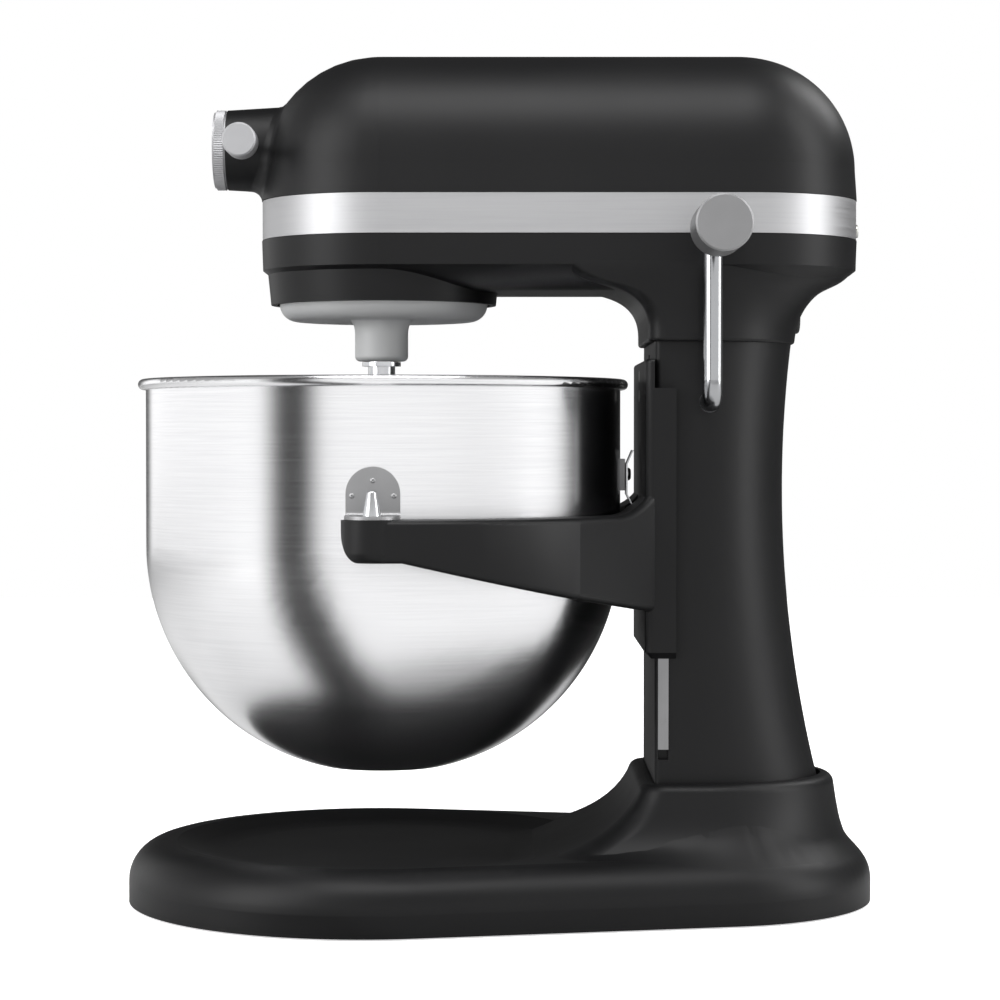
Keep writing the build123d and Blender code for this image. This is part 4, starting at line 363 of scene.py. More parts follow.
def smooth_by_angle(piece):
    bpy.ops.object.select_all(action="DESELECT")
    piece.select_set(True)
    bpy.context.view_layer.objects.active = piece
    bpy.ops.object.shade_smooth_by_angle(angle=SMOOTH_ANGLE)


def finished(piece, name, slot, body):
    piece.name = name
    piece.data.materials.clear()
    piece.data.materials.append(finishes[slot])
    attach(piece, body)


def merged_copy(node_name):
    piece = nodes[node_name].copy()
    piece.data = nodes[node_name].data.copy()
    bpy.context.scene.collection.objects.link(piece)
    bpy.ops.object.select_all(action="DESELECT")
    piece.select_set(True)
    bpy.context.view_layer.objects.active = piece
    bpy.ops.object.mode_set(mode="EDIT")
    bpy.ops.mesh.select_all(action="SELECT")
    bpy.ops.mesh.remove_doubles(threshold=MERGE)
    bpy.ops.mesh.customdata_custom_splitnormals_clear()
    bpy.ops.object.mode_set(mode="OBJECT")
    return piece


carrier = merged_copy("planetary_carrier")
rim_points = [v for v in carrier.data.vertices
              if math.hypot(v.co.x - mix_x, v.co.y) > CARRIER_R - CARRIER_ROLL - MERGE]
disc_low = min(v.co.z for v in rim_points)
moved = 0
for point in rim_points:
    radius = math.hypot(point.co.x - mix_x, point.co.y)
    if point.co.z < disc_low + CARRIER_ROLL + MERGE:
        across = (radius - CARRIER_R + CARRIER_ROLL) / CARRIER_ROLL
        up = (point.co.z - disc_low) / CARRIER_ROLL
        scale = (CARRIER_R + (across - 1.0) * WIDE_ROLL) / radius
        point.co.x = mix_x + (point.co.x - mix_x) * scale
        point.co.y = point.co.y * scale
        point.co.z = disc_low + up * WIDE_ROLL
        moved += 1
smooth_by_angle(carrier)
finished(carrier, "carrier_rolled", "planet_grey", "planetary")
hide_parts("planetary_carrier")
print("carrier edge:", moved, "points moved onto a roll of", WIDE_ROLL / MM, "mm")

# %% [markdown]
# The agitator's boss grows out of the carrier in a wide flare that runs up over the rolled edge.
# A flare is round about the boss's own axis, so half of its outline is drawn once and spun through a full turn.
# The boss is found in the carrier's own points: they are the ones that hang below the disc.

# %% Flare of the agitator boss
FLARE_OUT = 6.0 * MM
FLARE_UP = 9.0 * MM
FLARE_DROP = 7.0 * MM
FLARE_STEPS = 8
FLARE_SINK = 1.5 * MM
FLARE_TURNS = 72
FLARE_CREST = ((0.98, 0.7), (0.85, 1.8), (0.55, 3.0), (0.0, 3.6))
BOSS_BELOW = 8 * MM
boss_points = [v.co for v in carrier.data.vertices if v.co.z < disc_low - BOSS_BELOW]
boss_x = (min(c.x for c in boss_points) + max(c.x for c in boss_points)) / 2
boss_y = (min(c.y for c in boss_points) + max(c.y for c in boss_points)) / 2
boss_r = (max(c.x for c in boss_points) - min(c.x for c in boss_points)) / 2
flare_low = disc_low - FLARE_DROP
flare_high = flare_low + FLARE_UP
outline = []
for i in range(FLARE_STEPS + 1):
    bend = math.radians(90) * i / FLARE_STEPS
    outline.append((boss_r + FLARE_OUT * (1 - math.cos(bend)), flare_low + FLARE_UP * math.sin(bend)))
for share, up in FLARE_CREST:
    outline.append((boss_r + FLARE_OUT * share, flare_high + up * MM))
outline += [(boss_r - FLARE_SINK, flare_high + FLARE_CREST[-1][1] * MM), (boss_r - FLARE_SINK, flare_low)]
bpy.ops.object.select_all(action="DESELECT")
bpy.ops.mesh.primitive_circle_add(vertices=len(outline), radius=boss_r, fill_type="NOTHING")
flare = bpy.context.object
for vertex, (out, height) in zip(flare.data.vertices, outline):
    vertex.co = (boss_x + out, boss_y, height)
bpy.ops.object.mode_set(mode="EDIT")
bpy.ops.mesh.select_all(action="SELECT")
bpy.ops.mesh.spin(steps=FLARE_TURNS, angle=math.radians(360), center=(boss_x, boss_y, 0), axis=(0, 0, 1))
bpy.ops.mesh.select_all(action="SELECT")
bpy.ops.mesh.remove_doubles(threshold=MERGE)
bpy.ops.mesh.normals_make_consistent(inside=False)
bpy.ops.object.mode_set(mode="OBJECT")
smooth_by_angle(flare)
finished(flare, "boss_flare", "planet_grey", "planetary")
reach = math.hypot(boss_x - mix_x, boss_y) + boss_r + FLARE_OUT
print("boss of", round(boss_r / MM, 1), "mm at y", round(boss_y / MM, 1),
      "mm; its flare reaches", round(reach / MM, 1), "mm")

# %% [markdown]
# The base is one casting, and a casting has no sharp inner corner: where the collar's foot meets the rim, and
# round the dish, a hollow fillet runs. The CAD faces meet there along a crease. Beveling a crease between
# long thin triangles pinches them, so we lay a strip over it instead: at each point of the crease we step out
# on both faces and draw a hollow curve between the two steps, tangent to the faces.
# A grid primitive gives the strip its points, and Solidify gives it a thickness that sinks into the casting.
# The fillet at the collar's foot swells towards the middle of each side, so its width follows a cosine.

# %% Hollow fillets on the base
FILLET_STEPS = 8
FILLET_SKIN = 0.4 * MM
FILLET_SINK = 0.03 * MM
FILLET_PULL = 0.55
FADE_START = 0.1
CREASE_ANGLE = math.radians(12)


def crease_line(mesh, inside):
    edges = [e for e in mesh.edges if len(e.link_faces) == 2 and e.calc_face_angle_signed(0.0) < -CREASE_ANGLE
             and all(inside(v.co) for v in e.verts)]
    links = {}
    for edge in edges:
        for vertex in edge.verts:
            links.setdefault(vertex, []).append(edge)
    ends = [v for v, found in links.items() if len(found) == 1]
    here = min(ends or links, key=lambda v: (v.co.y, v.co.x))
    line, used = [here], set()
    while True:
        onward = [e for e in links[here] if e not in used]
        if not onward:
            return line, not ends, links
        used.add(onward[0])
        here = onward[0].other_vert(here)
        line.append(here)


def crease_sides(vertex, links, along):
    faces = {f for e in links[vertex] for f in e.link_faces}
    middle = sum((f.normal.z for f in faces)) / len(faces)
    steep = sum((f.normal for f in faces if f.normal.z <= middle), Vector()).normalized()
    level = sum((f.normal for f in faces if f.normal.z > middle), Vector()).normalized()
    sides = []
    for own, other in ((steep, level), (level, steep)):
        step = along.cross(own).normalized()
        sides.append(step if step.dot(other) > 0 else -step)
    return sides


def hollow_fillet(name, mesh, surface, inside, widths, fade):
    line, closed, links = crease_line(mesh, inside)
    places = [v.co for v in line]
    gone = [0.0]
    for first, second in zip(places, places[1:]):
        gone.append(gone[-1] + (second - first).length)
    rows = []
    for number, vertex in enumerate(line):
        last = len(line) - 1
        before = places[number - 1] if number else places[-2 if closed else 0]
        after = places[number + 1] if number < last else places[1 if closed else last]
        near_end = min(gone[number], gone[-1] - gone[number])
        share = 1.0 if closed else min(1.0, FADE_START + near_end / fade)
        handles = []
        sides = crease_sides(vertex, links, (after - before).normalized())
        for step, width in zip(sides, widths(vertex.co)):
            reach = share * width
            spot, normal, _, _ = surface.find_nearest(vertex.co + reach * step)
            inward = (vertex.co - spot) - normal * (vertex.co - spot).dot(normal)
            handles.append((spot - FILLET_SINK * normal, inward.normalized() * FILLET_PULL * reach))
        (low, low_pull), (high, high_pull) = handles
        row = []
        for i in range(FILLET_STEPS + 1):
            t = i / FILLET_STEPS
            row.append((1 - t) ** 3 * low + 3 * t * (1 - t) ** 2 * (low + low_pull)
                       + 3 * t * t * (1 - t) * (high + high_pull) + t ** 3 * high)
        rows.append(row)
    bpy.ops.object.select_all(action="DESELECT")
    bpy.ops.mesh.primitive_grid_add(x_subdivisions=FILLET_STEPS, y_subdivisions=len(rows) - 1, size=2.0)
    strip = bpy.context.object
    for vertex in strip.data.vertices:
        across = round((vertex.co.x + 1) / 2 * FILLET_STEPS)
        down = round((vertex.co.y + 1) / 2 * (len(rows) - 1))
        vertex.co = rows[down][across]
    bpy.ops.object.mode_set(mode="EDIT")
    bpy.ops.mesh.select_all(action="SELECT")
    bpy.ops.mesh.remove_doubles(threshold=MERGE)
    bpy.ops.object.mode_set(mode="OBJECT")
    if sum(face.normal.z for face in strip.data.polygons) < 0:
        strip.data.flip_normals()
    skin = strip.modifiers.new("skin", "SOLIDIFY")
    skin.thickness = FILLET_SKIN
    skin.offset = -1.0
    bpy.ops.object.modifier_apply(modifier=skin.name)
    smooth_by_angle(strip)
    finished(strip, name, "black_enamel", "frame")
    print(name, "runs", round(gone[-1] / MM), "mm in", len(rows), "steps, closed:", closed)


base_copy = merged_copy("base_casting")
base_mesh = bmesh.new()
base_mesh.from_mesh(base_copy.data)
base_mesh.normal_update()
base_surface = BVHTree.FromBMesh(base_mesh)
FOOT_MIDDLE = 118 * MM
FOOT_SPAN = 52 * MM
FOOT_SIDE = 20 * MM
FOOT_END = 8 * MM
DISH_WIDTHS = (7 * MM, 7 * MM)


def collar_widths(spot):
    away = min(1.0, abs(spot.x - FOOT_MIDDLE) / FOOT_SPAN)
    swell = 0.5 + 0.5 * math.cos(math.pi * away)
    return FOOT_END + (FOOT_SIDE - FOOT_END) * swell, FOOT_END


def at_collar_foot(spot):
    return 27 * MM < spot.z < 31.5 * MM and spot.x > 25 * MM


def at_dish_edge(spot):
    return 24 * MM < spot.z < 26 * MM and spot.x < 12 * MM


hollow_fillet("collar_fillet", base_mesh, base_surface, at_collar_foot, collar_widths, fade=40 * MM)
hollow_fillet("dish_fillet", base_mesh, base_surface, at_dish_edge, lambda spot: DISH_WIDTHS, fade=20 * MM)
base_mesh.free()
bpy.data.objects.remove(base_copy)

# %% [markdown]
# Each side bracket is spot welded to the bowl, and four small dimples show where the electrodes pressed.
# They could be a bump in the material, but a button of pushed-up metal catches the light from any side,
# so one is modelled: a low disc whose upper face is inset and raised into a dome, and pressed in at the middle.
# Then it is copied round.

# %% Spot welds
BRACKET_FACE_R = 119.6 * MM
WELD_R = 1.2 * MM
WELD_EDGE = 0.10 * MM
WELD_DOME = ((0.22, 0.20), (0.22, 0.12), (0.20, 0.02), (0.14, -0.18))
WELD_PLACES = ((0.0, 210.6), (-9.6, 203.6), (9.6, 203.6), (0.0, 199.6))


def select_faces(piece, wanted):
    bpy.ops.mesh.select_mode(type="FACE")
    mesh = bmesh.from_edit_mesh(piece.data)
    for face in mesh.faces:
        face.select = wanted(face)
    mesh.select_flush_mode()
    bmesh.update_edit_mesh(piece.data)


def copy_to(source, name, matrix):
    piece = source.copy()
    piece.data = source.data.copy()
    piece.data.transform(matrix)
    piece.name = name
    bpy.context.scene.collection.objects.link(piece)
    return piece


bpy.ops.object.select_all(action="DESELECT")
bpy.ops.mesh.primitive_cylinder_add(vertices=24, radius=WELD_R, depth=2 * WELD_EDGE)
weld = bpy.context.object
bpy.ops.object.mode_set(mode="EDIT")
select_faces(weld, lambda face: face.normal.z > 0.9)
for share, rise in WELD_DOME:
    bpy.ops.mesh.inset(thickness=share * WELD_R)
    bpy.ops.transform.translate(value=(0, 0, rise * MM))
bpy.ops.mesh.select_all(action="SELECT")
bpy.ops.mesh.normals_make_consistent(inside=False)
bpy.ops.object.mode_set(mode="OBJECT")
smooth_by_angle(weld)
for side, side_name in ((-1, "near"), (1, "far")):
    for number, (across, height) in enumerate(WELD_PLACES):
        out = Vector((across * MM, side * math.sqrt(BRACKET_FACE_R ** 2 - (across * MM) ** 2), 0.0))
        turn = out.to_track_quat("Z", "Y").to_matrix().to_4x4()
        spot_place = Matrix.Translation(Vector((mix_x, 0.0, height * MM)) + out)
        mark = copy_to(weld, "spot_weld_%s_%d" % (side_name, number + 1), spot_place @ turn)
        finished(mark, mark.name, "bracket_steel", "bowl")
bpy.data.objects.remove(weld)
print("spot welds:", 2 * len(WELD_PLACES))

# %% [markdown]
# The bracket's foot is folded out of the same sheet as its plate, and the inside of the fold is a small
# hollow round that shows as a bright line. Two solids that meet squarely lack it. We draw the hollow corner
# as a flat outline and spin it about the bowl's axis, so that it follows the curve of the plate.
# With no window the spin runs clockwise seen from above, so the outline starts at the other end.

# %% Bracket folds
FOLD_R = 1.6 * MM
FOLD_SINK = 0.15 * MM
FOLD_STEPS = 6
FOLD_TURNS = 12
SHEET = 1.6 * MM
fold_half_angle = math.asin((bracket_high.x - bracket_low.x) / 2 / BRACKET_FACE_R)
foot_top = bracket_low.z + SHEET
outline = [(-FOLD_SINK, FOLD_R), (-FOLD_SINK, -FOLD_SINK), (FOLD_R, -FOLD_SINK)]
for i in range(FOLD_STEPS + 1):
    bend = math.radians(90) * i / FOLD_STEPS
    outline.append((FOLD_R * (1 - math.sin(bend)), FOLD_R * (1 - math.cos(bend))))
for side, side_name in ((-1, "near"), (1, "far")):
    bpy.ops.object.select_all(action="DESELECT")
    bpy.ops.mesh.primitive_circle_add(vertices=len(outline), radius=FOLD_R, fill_type="NGON")
    fold = bpy.context.object
    for vertex, (out, up) in zip(fold.data.vertices, outline):
        vertex.co = (0.0, side * (BRACKET_FACE_R + out), foot_top + up)
    fold.data.transform(Matrix.Translation((mix_x, 0, 0)) @ Matrix.Rotation(fold_half_angle, 4, "Z"))
    bpy.ops.object.mode_set(mode="EDIT")
    bpy.ops.mesh.select_all(action="SELECT")
    bpy.ops.mesh.spin(steps=FOLD_TURNS, angle=2 * fold_half_angle, center=(mix_x, 0, 0), axis=(0, 0, 1))
    bpy.ops.mesh.select_all(action="SELECT")
    bpy.ops.mesh.remove_doubles(threshold=MERGE)
    bpy.ops.mesh.normals_make_consistent(inside=False)
    bpy.ops.object.mode_set(mode="OBJECT")
    smooth_by_angle(fold)
    finished(fold, "bracket_fold_" + side_name, "bracket_steel", "bowl")
    spread = [v.co.x for v in fold.data.vertices]
    print("bracket fold", side_name, "spans", round((max(spread) - min(spread)) / MM, 2), "mm")

# %% [markdown]
# The support's arms end in blunt tips whose lower corner is rounded far back. The corner of the solid is tighter.
# A bevel would follow the small round that is already there, so a merged copy of the support is trimmed instead:
# a bar with an elliptical hollow along one edge is taken away from both tips by one Boolean modifier.

# %% Rounded arm tips
TIP_BACK = 8.5 * MM
TIP_UP = 15.0 * MM
TIP_STEPS = 14
TIP_MARGIN = 4.0 * MM
TIP_ZONE = 15 * MM
support_copy = merged_copy("bowl_support")
support_points = [v.co for v in support_copy.data.vertices]
tip_x = min(c.x for c in support_points)
tip_low = min(c.z for c in support_points if c.x < tip_x + TIP_ZONE)
bar_half = max(c.y for c in support_points) + TIP_MARGIN
outline = [(-TIP_MARGIN, TIP_UP), (-TIP_MARGIN, -TIP_MARGIN), (TIP_BACK, -TIP_MARGIN)]
for i in range(TIP_STEPS + 1):
    bend = math.radians(90) * i / TIP_STEPS
    outline.append((TIP_BACK * (1 - math.sin(bend)), TIP_UP * (1 - math.cos(bend))))
bpy.ops.object.select_all(action="DESELECT")
bpy.ops.mesh.primitive_circle_add(vertices=len(outline), radius=TIP_UP, fill_type="NGON")
bar = bpy.context.object
for vertex, (back, up) in zip(bar.data.vertices, outline):
    vertex.co = (tip_x + back, -bar_half, tip_low + up)
bpy.ops.object.mode_set(mode="EDIT")
bpy.ops.mesh.select_all(action="SELECT")
bpy.ops.mesh.extrude_region_move(TRANSFORM_OT_translate={"value": (0, 2 * bar_half, 0)})
bpy.ops.mesh.select_all(action="SELECT")
bpy.ops.mesh.normals_make_consistent(inside=False)
bpy.ops.object.mode_set(mode="OBJECT")
bpy.context.view_layer.objects.active = support_copy
trim = support_copy.modifiers.new("tip", "BOOLEAN")
trim.operation = "DIFFERENCE"
trim.object = bar
bpy.ops.object.modifier_apply(modifier=trim.name)
bpy.data.objects.remove(bar)
smooth_by_angle(support_copy)
finished(support_copy, "support_rounded", "black_enamel", "support")
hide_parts("bowl_support")
print("arm tips at x", round(tip_x / MM, 1), "mm rounded over", TIP_UP / MM, "mm,",
      len(support_copy.data.polygons), "faces")

# %% [markdown]
# Two polished cones on the support's arms reach up through the brackets and locate the bowl.
# A cone primitive gives the taper. Its tip is beveled round, and its foot is inset and pulled down into the shank
# that is pressed into the arm, so the piece is whole even where nobody sees it.

# %% Bowl pins
PIN_R = 4.6 * MM
PIN_TIP_R = 2.2 * MM
PIN_HEIGHT = 13.0 * MM
PIN_SHANK_R = 3.0 * MM
PIN_SHANK = 10.0 * MM
PIN_ROUND = 0.8 * MM
PIN_Y = 129.5 * MM
pin_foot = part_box("bowl_pins")[0].z + PIN_SHANK
bpy.ops.object.select_all(action="DESELECT")
bpy.ops.mesh.primitive_cone_add(vertices=64, radius1=PIN_R, radius2=PIN_TIP_R, depth=PIN_HEIGHT)
pin = bpy.context.object
pin.data.transform(Matrix.Translation((0, 0, PIN_HEIGHT / 2)))
bpy.ops.object.mode_set(mode="EDIT")
select_faces(pin, lambda face: face.normal.z > 0.9)
bpy.ops.mesh.bevel(offset=PIN_ROUND, segments=4, affect="EDGES")
select_faces(pin, lambda face: face.normal.z < -0.9)
bpy.ops.mesh.inset(thickness=PIN_R - PIN_SHANK_R)
bpy.ops.mesh.extrude_region_move(TRANSFORM_OT_translate={"value": (0, 0, -PIN_SHANK)})
bpy.ops.mesh.select_all(action="SELECT")
bpy.ops.mesh.normals_make_consistent(inside=False)
bpy.ops.object.mode_set(mode="OBJECT")
smooth_by_angle(pin)
for side, side_name in ((-1, "near"), (1, "far")):
    placed = copy_to(pin, "bowl_pin_" + side_name, Matrix.Translation((mix_x, side * PIN_Y, pin_foot)))
    finished(placed, placed.name, "shaft_steel", "support")
    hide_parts("bowl_pins")
bpy.data.objects.remove(pin)
print("bowl pins", PIN_HEIGHT / MM, "mm tall on arms at", round(pin_foot / MM, 1), "mm")

# %% [markdown]
# Two screws hold the band at the back of the head. The CAD screws are plain discs, and the real ones are
# pan heads with a cross recess. A pan head is a disc with its upper edge beveled round, and the recess is
# two crossed bars taken out of it by a Boolean modifier that is then applied.

# %% Band screws
HEAD_R = 3.2 * MM
HEAD_RISE = 1.0 * MM
HEAD_ROUND = 0.55 * MM
SHANK_R = 1.6 * MM
SHANK = 2.2 * MM
RECESS_LONG = 3.4 * MM
RECESS_WIDE = 0.8 * MM
RECESS_DEEP = 0.7 * MM
SCREW_ANGLE = 5.0
screw_low, screw_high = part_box("band_screws")
SCREW_Z = (screw_low.z + screw_high.z) / 2
BAND_CENTRE_X = 117.0 * MM
BAND_FACE_R = 60.2 * MM


def cross_cutter():
    bars = []
    for turn in (0, 90):
        bpy.ops.object.select_all(action="DESELECT")
        bpy.ops.mesh.primitive_cube_add(size=1.0)
        bar = bpy.context.object
        size = Matrix.Diagonal((RECESS_LONG, RECESS_WIDE, 2 * RECESS_DEEP, 1.0))
        crossed = Matrix.Rotation(math.radians(turn), 4, "Z")
        bar.data.transform(Matrix.Translation((0, 0, HEAD_RISE)) @ crossed @ size)
        bars.append(bar)
    return bars


bpy.ops.object.select_all(action="DESELECT")
bpy.ops.mesh.primitive_cylinder_add(vertices=48, radius=HEAD_R, depth=HEAD_RISE)
screw = bpy.context.object
screw.data.transform(Matrix.Translation((0, 0, HEAD_RISE / 2)))
bpy.ops.object.mode_set(mode="EDIT")
select_faces(screw, lambda face: face.normal.z > 0.9)
bpy.ops.mesh.bevel(offset=HEAD_ROUND, segments=4, affect="EDGES")
select_faces(screw, lambda face: face.normal.z < -0.9)
bpy.ops.mesh.inset(thickness=HEAD_R - SHANK_R)
bpy.ops.mesh.extrude_region_move(TRANSFORM_OT_translate={"value": (0, 0, -SHANK)})
bpy.ops.mesh.select_all(action="SELECT")
bpy.ops.mesh.normals_make_consistent(inside=False)
bpy.ops.object.mode_set(mode="OBJECT")
for bar in cross_cutter():
    bpy.context.view_layer.objects.active = screw
    cut = screw.modifiers.new("recess", "BOOLEAN")
    cut.operation = "DIFFERENCE"
    cut.object = bar
    bpy.ops.object.modifier_apply(modifier=cut.name)
    bpy.data.objects.remove(bar)
smooth_by_angle(screw)
for side, side_name in ((-1, "near"), (1, "far")):
    turn = Matrix.Rotation(math.radians(side * SCREW_ANGLE), 4, "Z")
    out = Matrix.Translation((BAND_FACE_R, 0, 0)) @ Matrix.Rotation(math.radians(90), 4, "Y")
    placed = copy_to(screw, "band_screw_" + side_name,
                     Matrix.Translation((BAND_CENTRE_X, 0, SCREW_Z)) @ turn @ out)
    finished(placed, placed.name, "fastener_zinc", "frame")
    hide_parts("band_screws")
bpy.data.objects.remove(screw)
print("band screws with a cross recess", RECESS_LONG / MM, "mm long")

# %% [markdown]
# On the far side the speed slide runs in a slot in the band, and the band carries a printed scale from 0 to 10.
# Ink has next to no thickness, but a scale drawn as thin raised shapes keeps sharp edges at any distance.
# The figures are text objects made into meshes, and the ticks are cubes pressed flat, with beveled edges.
# A figure is about 0.7 of its text size tall, so the size is worked back from the height.

# %% Speed scale
SCALE_STEPS = 10
SCALE_LONG = 50 * MM
SLOT_HALF = 2.5 * MM
TICK_GAP = 0.6 * MM
FIGURE_GAP = 0.5 * MM
FIGURE_SHARE = 0.7
speed_low, speed_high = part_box("speed_slide")
SCALE_OFF_X = (speed_low.x + speed_high.x) / 2
SCALE_PITCH = SCALE_LONG / SCALE_STEPS
SLOT_TOP = (speed_low.z + speed_high.z) / 2 + SLOT_HALF
TICK_WIDE = 0.45 * MM
TICK_TALL = 1.5 * MM
INK = 0.08 * MM
FIGURE_TALL = 3.0 * MM
TICK_Z = SLOT_TOP + TICK_GAP + TICK_TALL / 2
FIGURE_Z = TICK_Z + TICK_TALL / 2 + FIGURE_GAP
face_y = band_high.y
facing = Matrix.Rotation(math.pi, 4, "Z") @ Matrix.Rotation(math.pi / 2, 4, "X")
bpy.ops.object.select_all(action="DESELECT")
bpy.ops.mesh.primitive_cube_add(size=1.0)
tick = bpy.context.object
tick.data.transform(Matrix.Diagonal((TICK_WIDE, TICK_TALL, 2 * INK, 1.0)))
bpy.ops.object.mode_set(mode="EDIT")
bpy.ops.mesh.select_all(action="SELECT")
bpy.ops.mesh.bevel(offset=0.3 * INK, segments=1, affect="EDGES")
bpy.ops.object.mode_set(mode="OBJECT")
for step_number in range(SCALE_STEPS + 1):
    x = SCALE_OFF_X - step_number * SCALE_PITCH
    mark = copy_to(tick, "speed_tick_%02d" % step_number, Matrix.Translation((x, face_y, TICK_Z)) @ facing)
    finished(mark, mark.name, "black_plastic", "frame")
    if step_number % 2 == 0:
        bpy.ops.object.select_all(action="DESELECT")
        bpy.ops.object.text_add(location=(0, 0, 0))
        figure = bpy.context.object
        figure.data.body = str(step_number)
        figure.data.size = FIGURE_TALL / FIGURE_SHARE
        figure.data.align_x = "CENTER"
        figure.data.extrude = INK
        bpy.ops.object.convert(target="MESH")
        figure.data.transform(Matrix.Translation((x, face_y, FIGURE_Z)) @ facing)
        finished(figure, "speed_figure_%02d" % step_number, "black_plastic", "frame")
bpy.data.objects.remove(tick)
print("speed scale:", SCALE_STEPS + 1, "ticks,", SCALE_STEPS // 2 + 1, "figures")

# %% [markdown]
# The floor is a wide pale sheet. To the camera it glows just enough to reach white where nothing shades it,
# so the white comes from the floor's own colour and the shadow under the base stays.
# Further out, where the lamps no longer reach, it glows more, so that no horizon shows.
# Metal sees it glow a little too. For metal its colour and its glow carry painted shade: darker on the ground close
# to the base, as if the base shaded it, darker on the far ground behind the mixer, and darker along the dark gap,
# which runs on over the floor as the stripe runs on down the bowl.

# %% Floor
FLOOR_SIZE = 5.0
GLOW_NEAR = 0.62
GLOW_FAR = 1.0
NEAR_RADIUS = 0.30
FAR_RADIUS = 0.90
FLOOR_MIRRORED = 0.14
# painted shade on the floor as metal sees it: close to the base, far behind the mixer, and along the dark gap
GROUND_NEAR = 0.13
GROUND_FAR = 0.23
PAINTED_GROUND_SHADE = 0.30
GROUND_OPEN = 0.75
REAR_START = 0.15
REAR_END = 0.45
PAINTED_REAR_SHADE = 0.05
WEDGE_X = mix_x + 85 * MM
PAPER_FIBRE = 6 * MM
bpy.ops.object.select_all(action="DESELECT")
bpy.ops.mesh.primitive_plane_add(size=FLOOR_SIZE, location=(0, 0, 0))
floor = bpy.context.object
floor.name = "studio_floor"
floor_material, tree, shader, place = start_material(
    "paper_sweep_white", {"Roughness": 0.9, "Specular IOR Level": 0.1, "Emission Color": (1, 1, 1, 1)})
fibre = add(tree, "ShaderNodeTexNoise", {"Scale": 1 / PAPER_FIBRE, "Detail": 2.0}, {"Vector": place})
paper = add(tree, "ShaderNodeMix", {"data_type": "RGBA", 6: linear("#f3f3f3"), 7: linear("#f8f8f8")}, {0: fibre})
spot = add(tree, "ShaderNodeSeparateXYZ", links={0: place}).outputs
from_apex = add(tree, "ShaderNodeMath", {"operation": "SUBTRACT", 1: WEDGE_X}, {0: spot["X"]})
far = add(tree, "ShaderNodeVectorMath", {"operation": "LENGTH"}, {0: place}).outputs["Value"]
# painted shade, seen only by metal: the floor is darker close to the base, as if the base shaded it
ground = add(tree, "ShaderNodeMapRange", smooth | {
    "From Min": GROUND_NEAR, "From Max": GROUND_FAR, "To Min": PAINTED_GROUND_SHADE, "To Max": GROUND_OPEN}, {"Value": far})
# painted shade, seen only by metal: the far floor behind the mixer is darker
depth = add(tree, "ShaderNodeMapRange", smooth | {
    "From Min": REAR_START, "From Max": REAR_END}, {"Value": spot["Y"]})
aside = add(tree, "ShaderNodeMapRange", smooth | {
    "From Min": -REAR_END, "From Max": -REAR_START}, {"Value": spot["X"]})
painted_rear_mask = add(tree, "ShaderNodeMath", {"operation": "MULTIPLY"}, {0: depth, 1: aside})
rear = add(tree, "ShaderNodeMapRange", {"To Min": 1.0, "To Max": PAINTED_REAR_SHADE}, {"Value": painted_rear_mask})
open_ground = add(tree, "ShaderNodeMath", {"operation": "MULTIPLY"}, {0: ground, 1: rear})
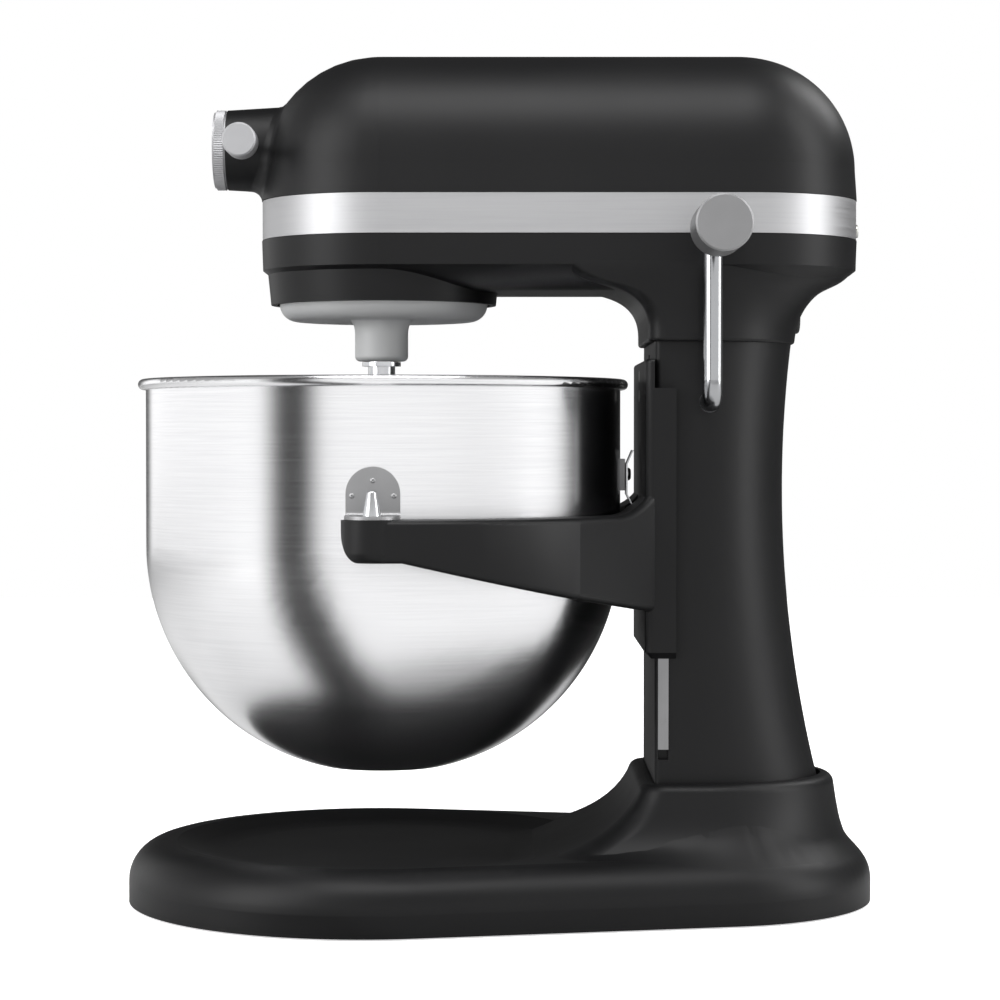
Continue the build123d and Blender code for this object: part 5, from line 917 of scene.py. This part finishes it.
# painted shade, seen only by metal: the dark gap runs on over the floor as a darker wedge
glossy_painted_shade = add(tree, "ShaderNodeMath", {"operation": "MULTIPLY"},
            {0: open_ground, 1: gap_factor(tree, from_apex, spot["Y"])})
rays = add(tree, "ShaderNodeLightPath").outputs
shade = add(tree, "ShaderNodeMix", {"data_type": "FLOAT", "A": 1.0},
            {"Factor": rays["Is Glossy Ray"], "B": glossy_painted_shade})
tint = add(tree, "ShaderNodeMix", {"data_type": "RGBA", 6: (0, 0, 0, 1)}, {0: shade, 7: paper.outputs[2]})
tree.links.new(tint.outputs[2], shader.inputs["Base Color"])
glow = add(tree, "ShaderNodeMapRange", smooth | {
    "From Min": NEAR_RADIUS, "From Max": FAR_RADIUS, "To Min": GLOW_NEAR, "To Max": GLOW_FAR}, {"Value": far})
seen = add(tree, "ShaderNodeMath", {"operation": "MULTIPLY"}, {0: rays["Is Camera Ray"], 1: glow})
glow_with_painted_shade = add(tree, "ShaderNodeMath", {"operation": "MULTIPLY", 1: FLOOR_MIRRORED}, {0: glossy_painted_shade})
mirrored = add(tree, "ShaderNodeMath", {"operation": "MULTIPLY"}, {0: rays["Is Glossy Ray"], 1: glow_with_painted_shade})
both = add(tree, "ShaderNodeMath", {"operation": "ADD"}, {0: seen, 1: mirrored})
tree.links.new(both.outputs[0], shader.inputs["Emission Strength"])
floor.data.materials.append(floor_material)
print("floor of", FLOOR_SIZE, "m")

# %% [markdown]
# Four soft boxes: one high in front draws the pale line along the shoulder of the head,
# one at the left and one at the right draw the soft bands on the round corners and on the column,
# and one high behind at the right draws the thin bright rim at the back of the head.
# The two side boxes would stand in the mirror of the bowl as hard white bars. In a studio a flag, a black card,
# keeps such a lamp off the bowl. Light linking is Blender's flag: the bowl is left out of what the two boxes light.

# %% Soft boxes
def soft_box(name, place, target, width, height, watts):
    data = bpy.data.lights.new(name, "AREA")
    data.shape = "RECTANGLE"
    data.size = width
    data.size_y = height
    data.energy = watts
    lamp = bpy.data.objects.new(name, data)
    lamp.location = place
    lamp.rotation_euler = (Vector(target) - Vector(place)).to_track_quat("-Z", "Y").to_euler()
    bpy.context.scene.collection.objects.link(lamp)
    return lamp


MIDDLE = (0.0, 0.0, 0.22)
soft_box("high_front_box", (0.0, -0.58, 1.70), MIDDLE, 1.2, 0.8, 20.5)
left_box = soft_box("left_box", (-1.27, -0.92, 0.85), MIDDLE, 1.0, 1.6, 25.0)
right_box = soft_box("right_box", (1.35, -0.35, 0.80), MIDDLE, 0.4, 1.6, 14.0)
soft_box("rim_box", (1.15, 0.75, 1.35), MIDDLE, 0.5, 0.8, 9.0)
for box in (left_box, right_box):
    flagged = bpy.data.collections.new(box.name + "_flag")
    flagged.objects.link(nodes["bowl_shell"])
    flagged.collection_objects[0].light_linking.link_state = "EXCLUDE"
    box.light_linking.receiver_collection = flagged
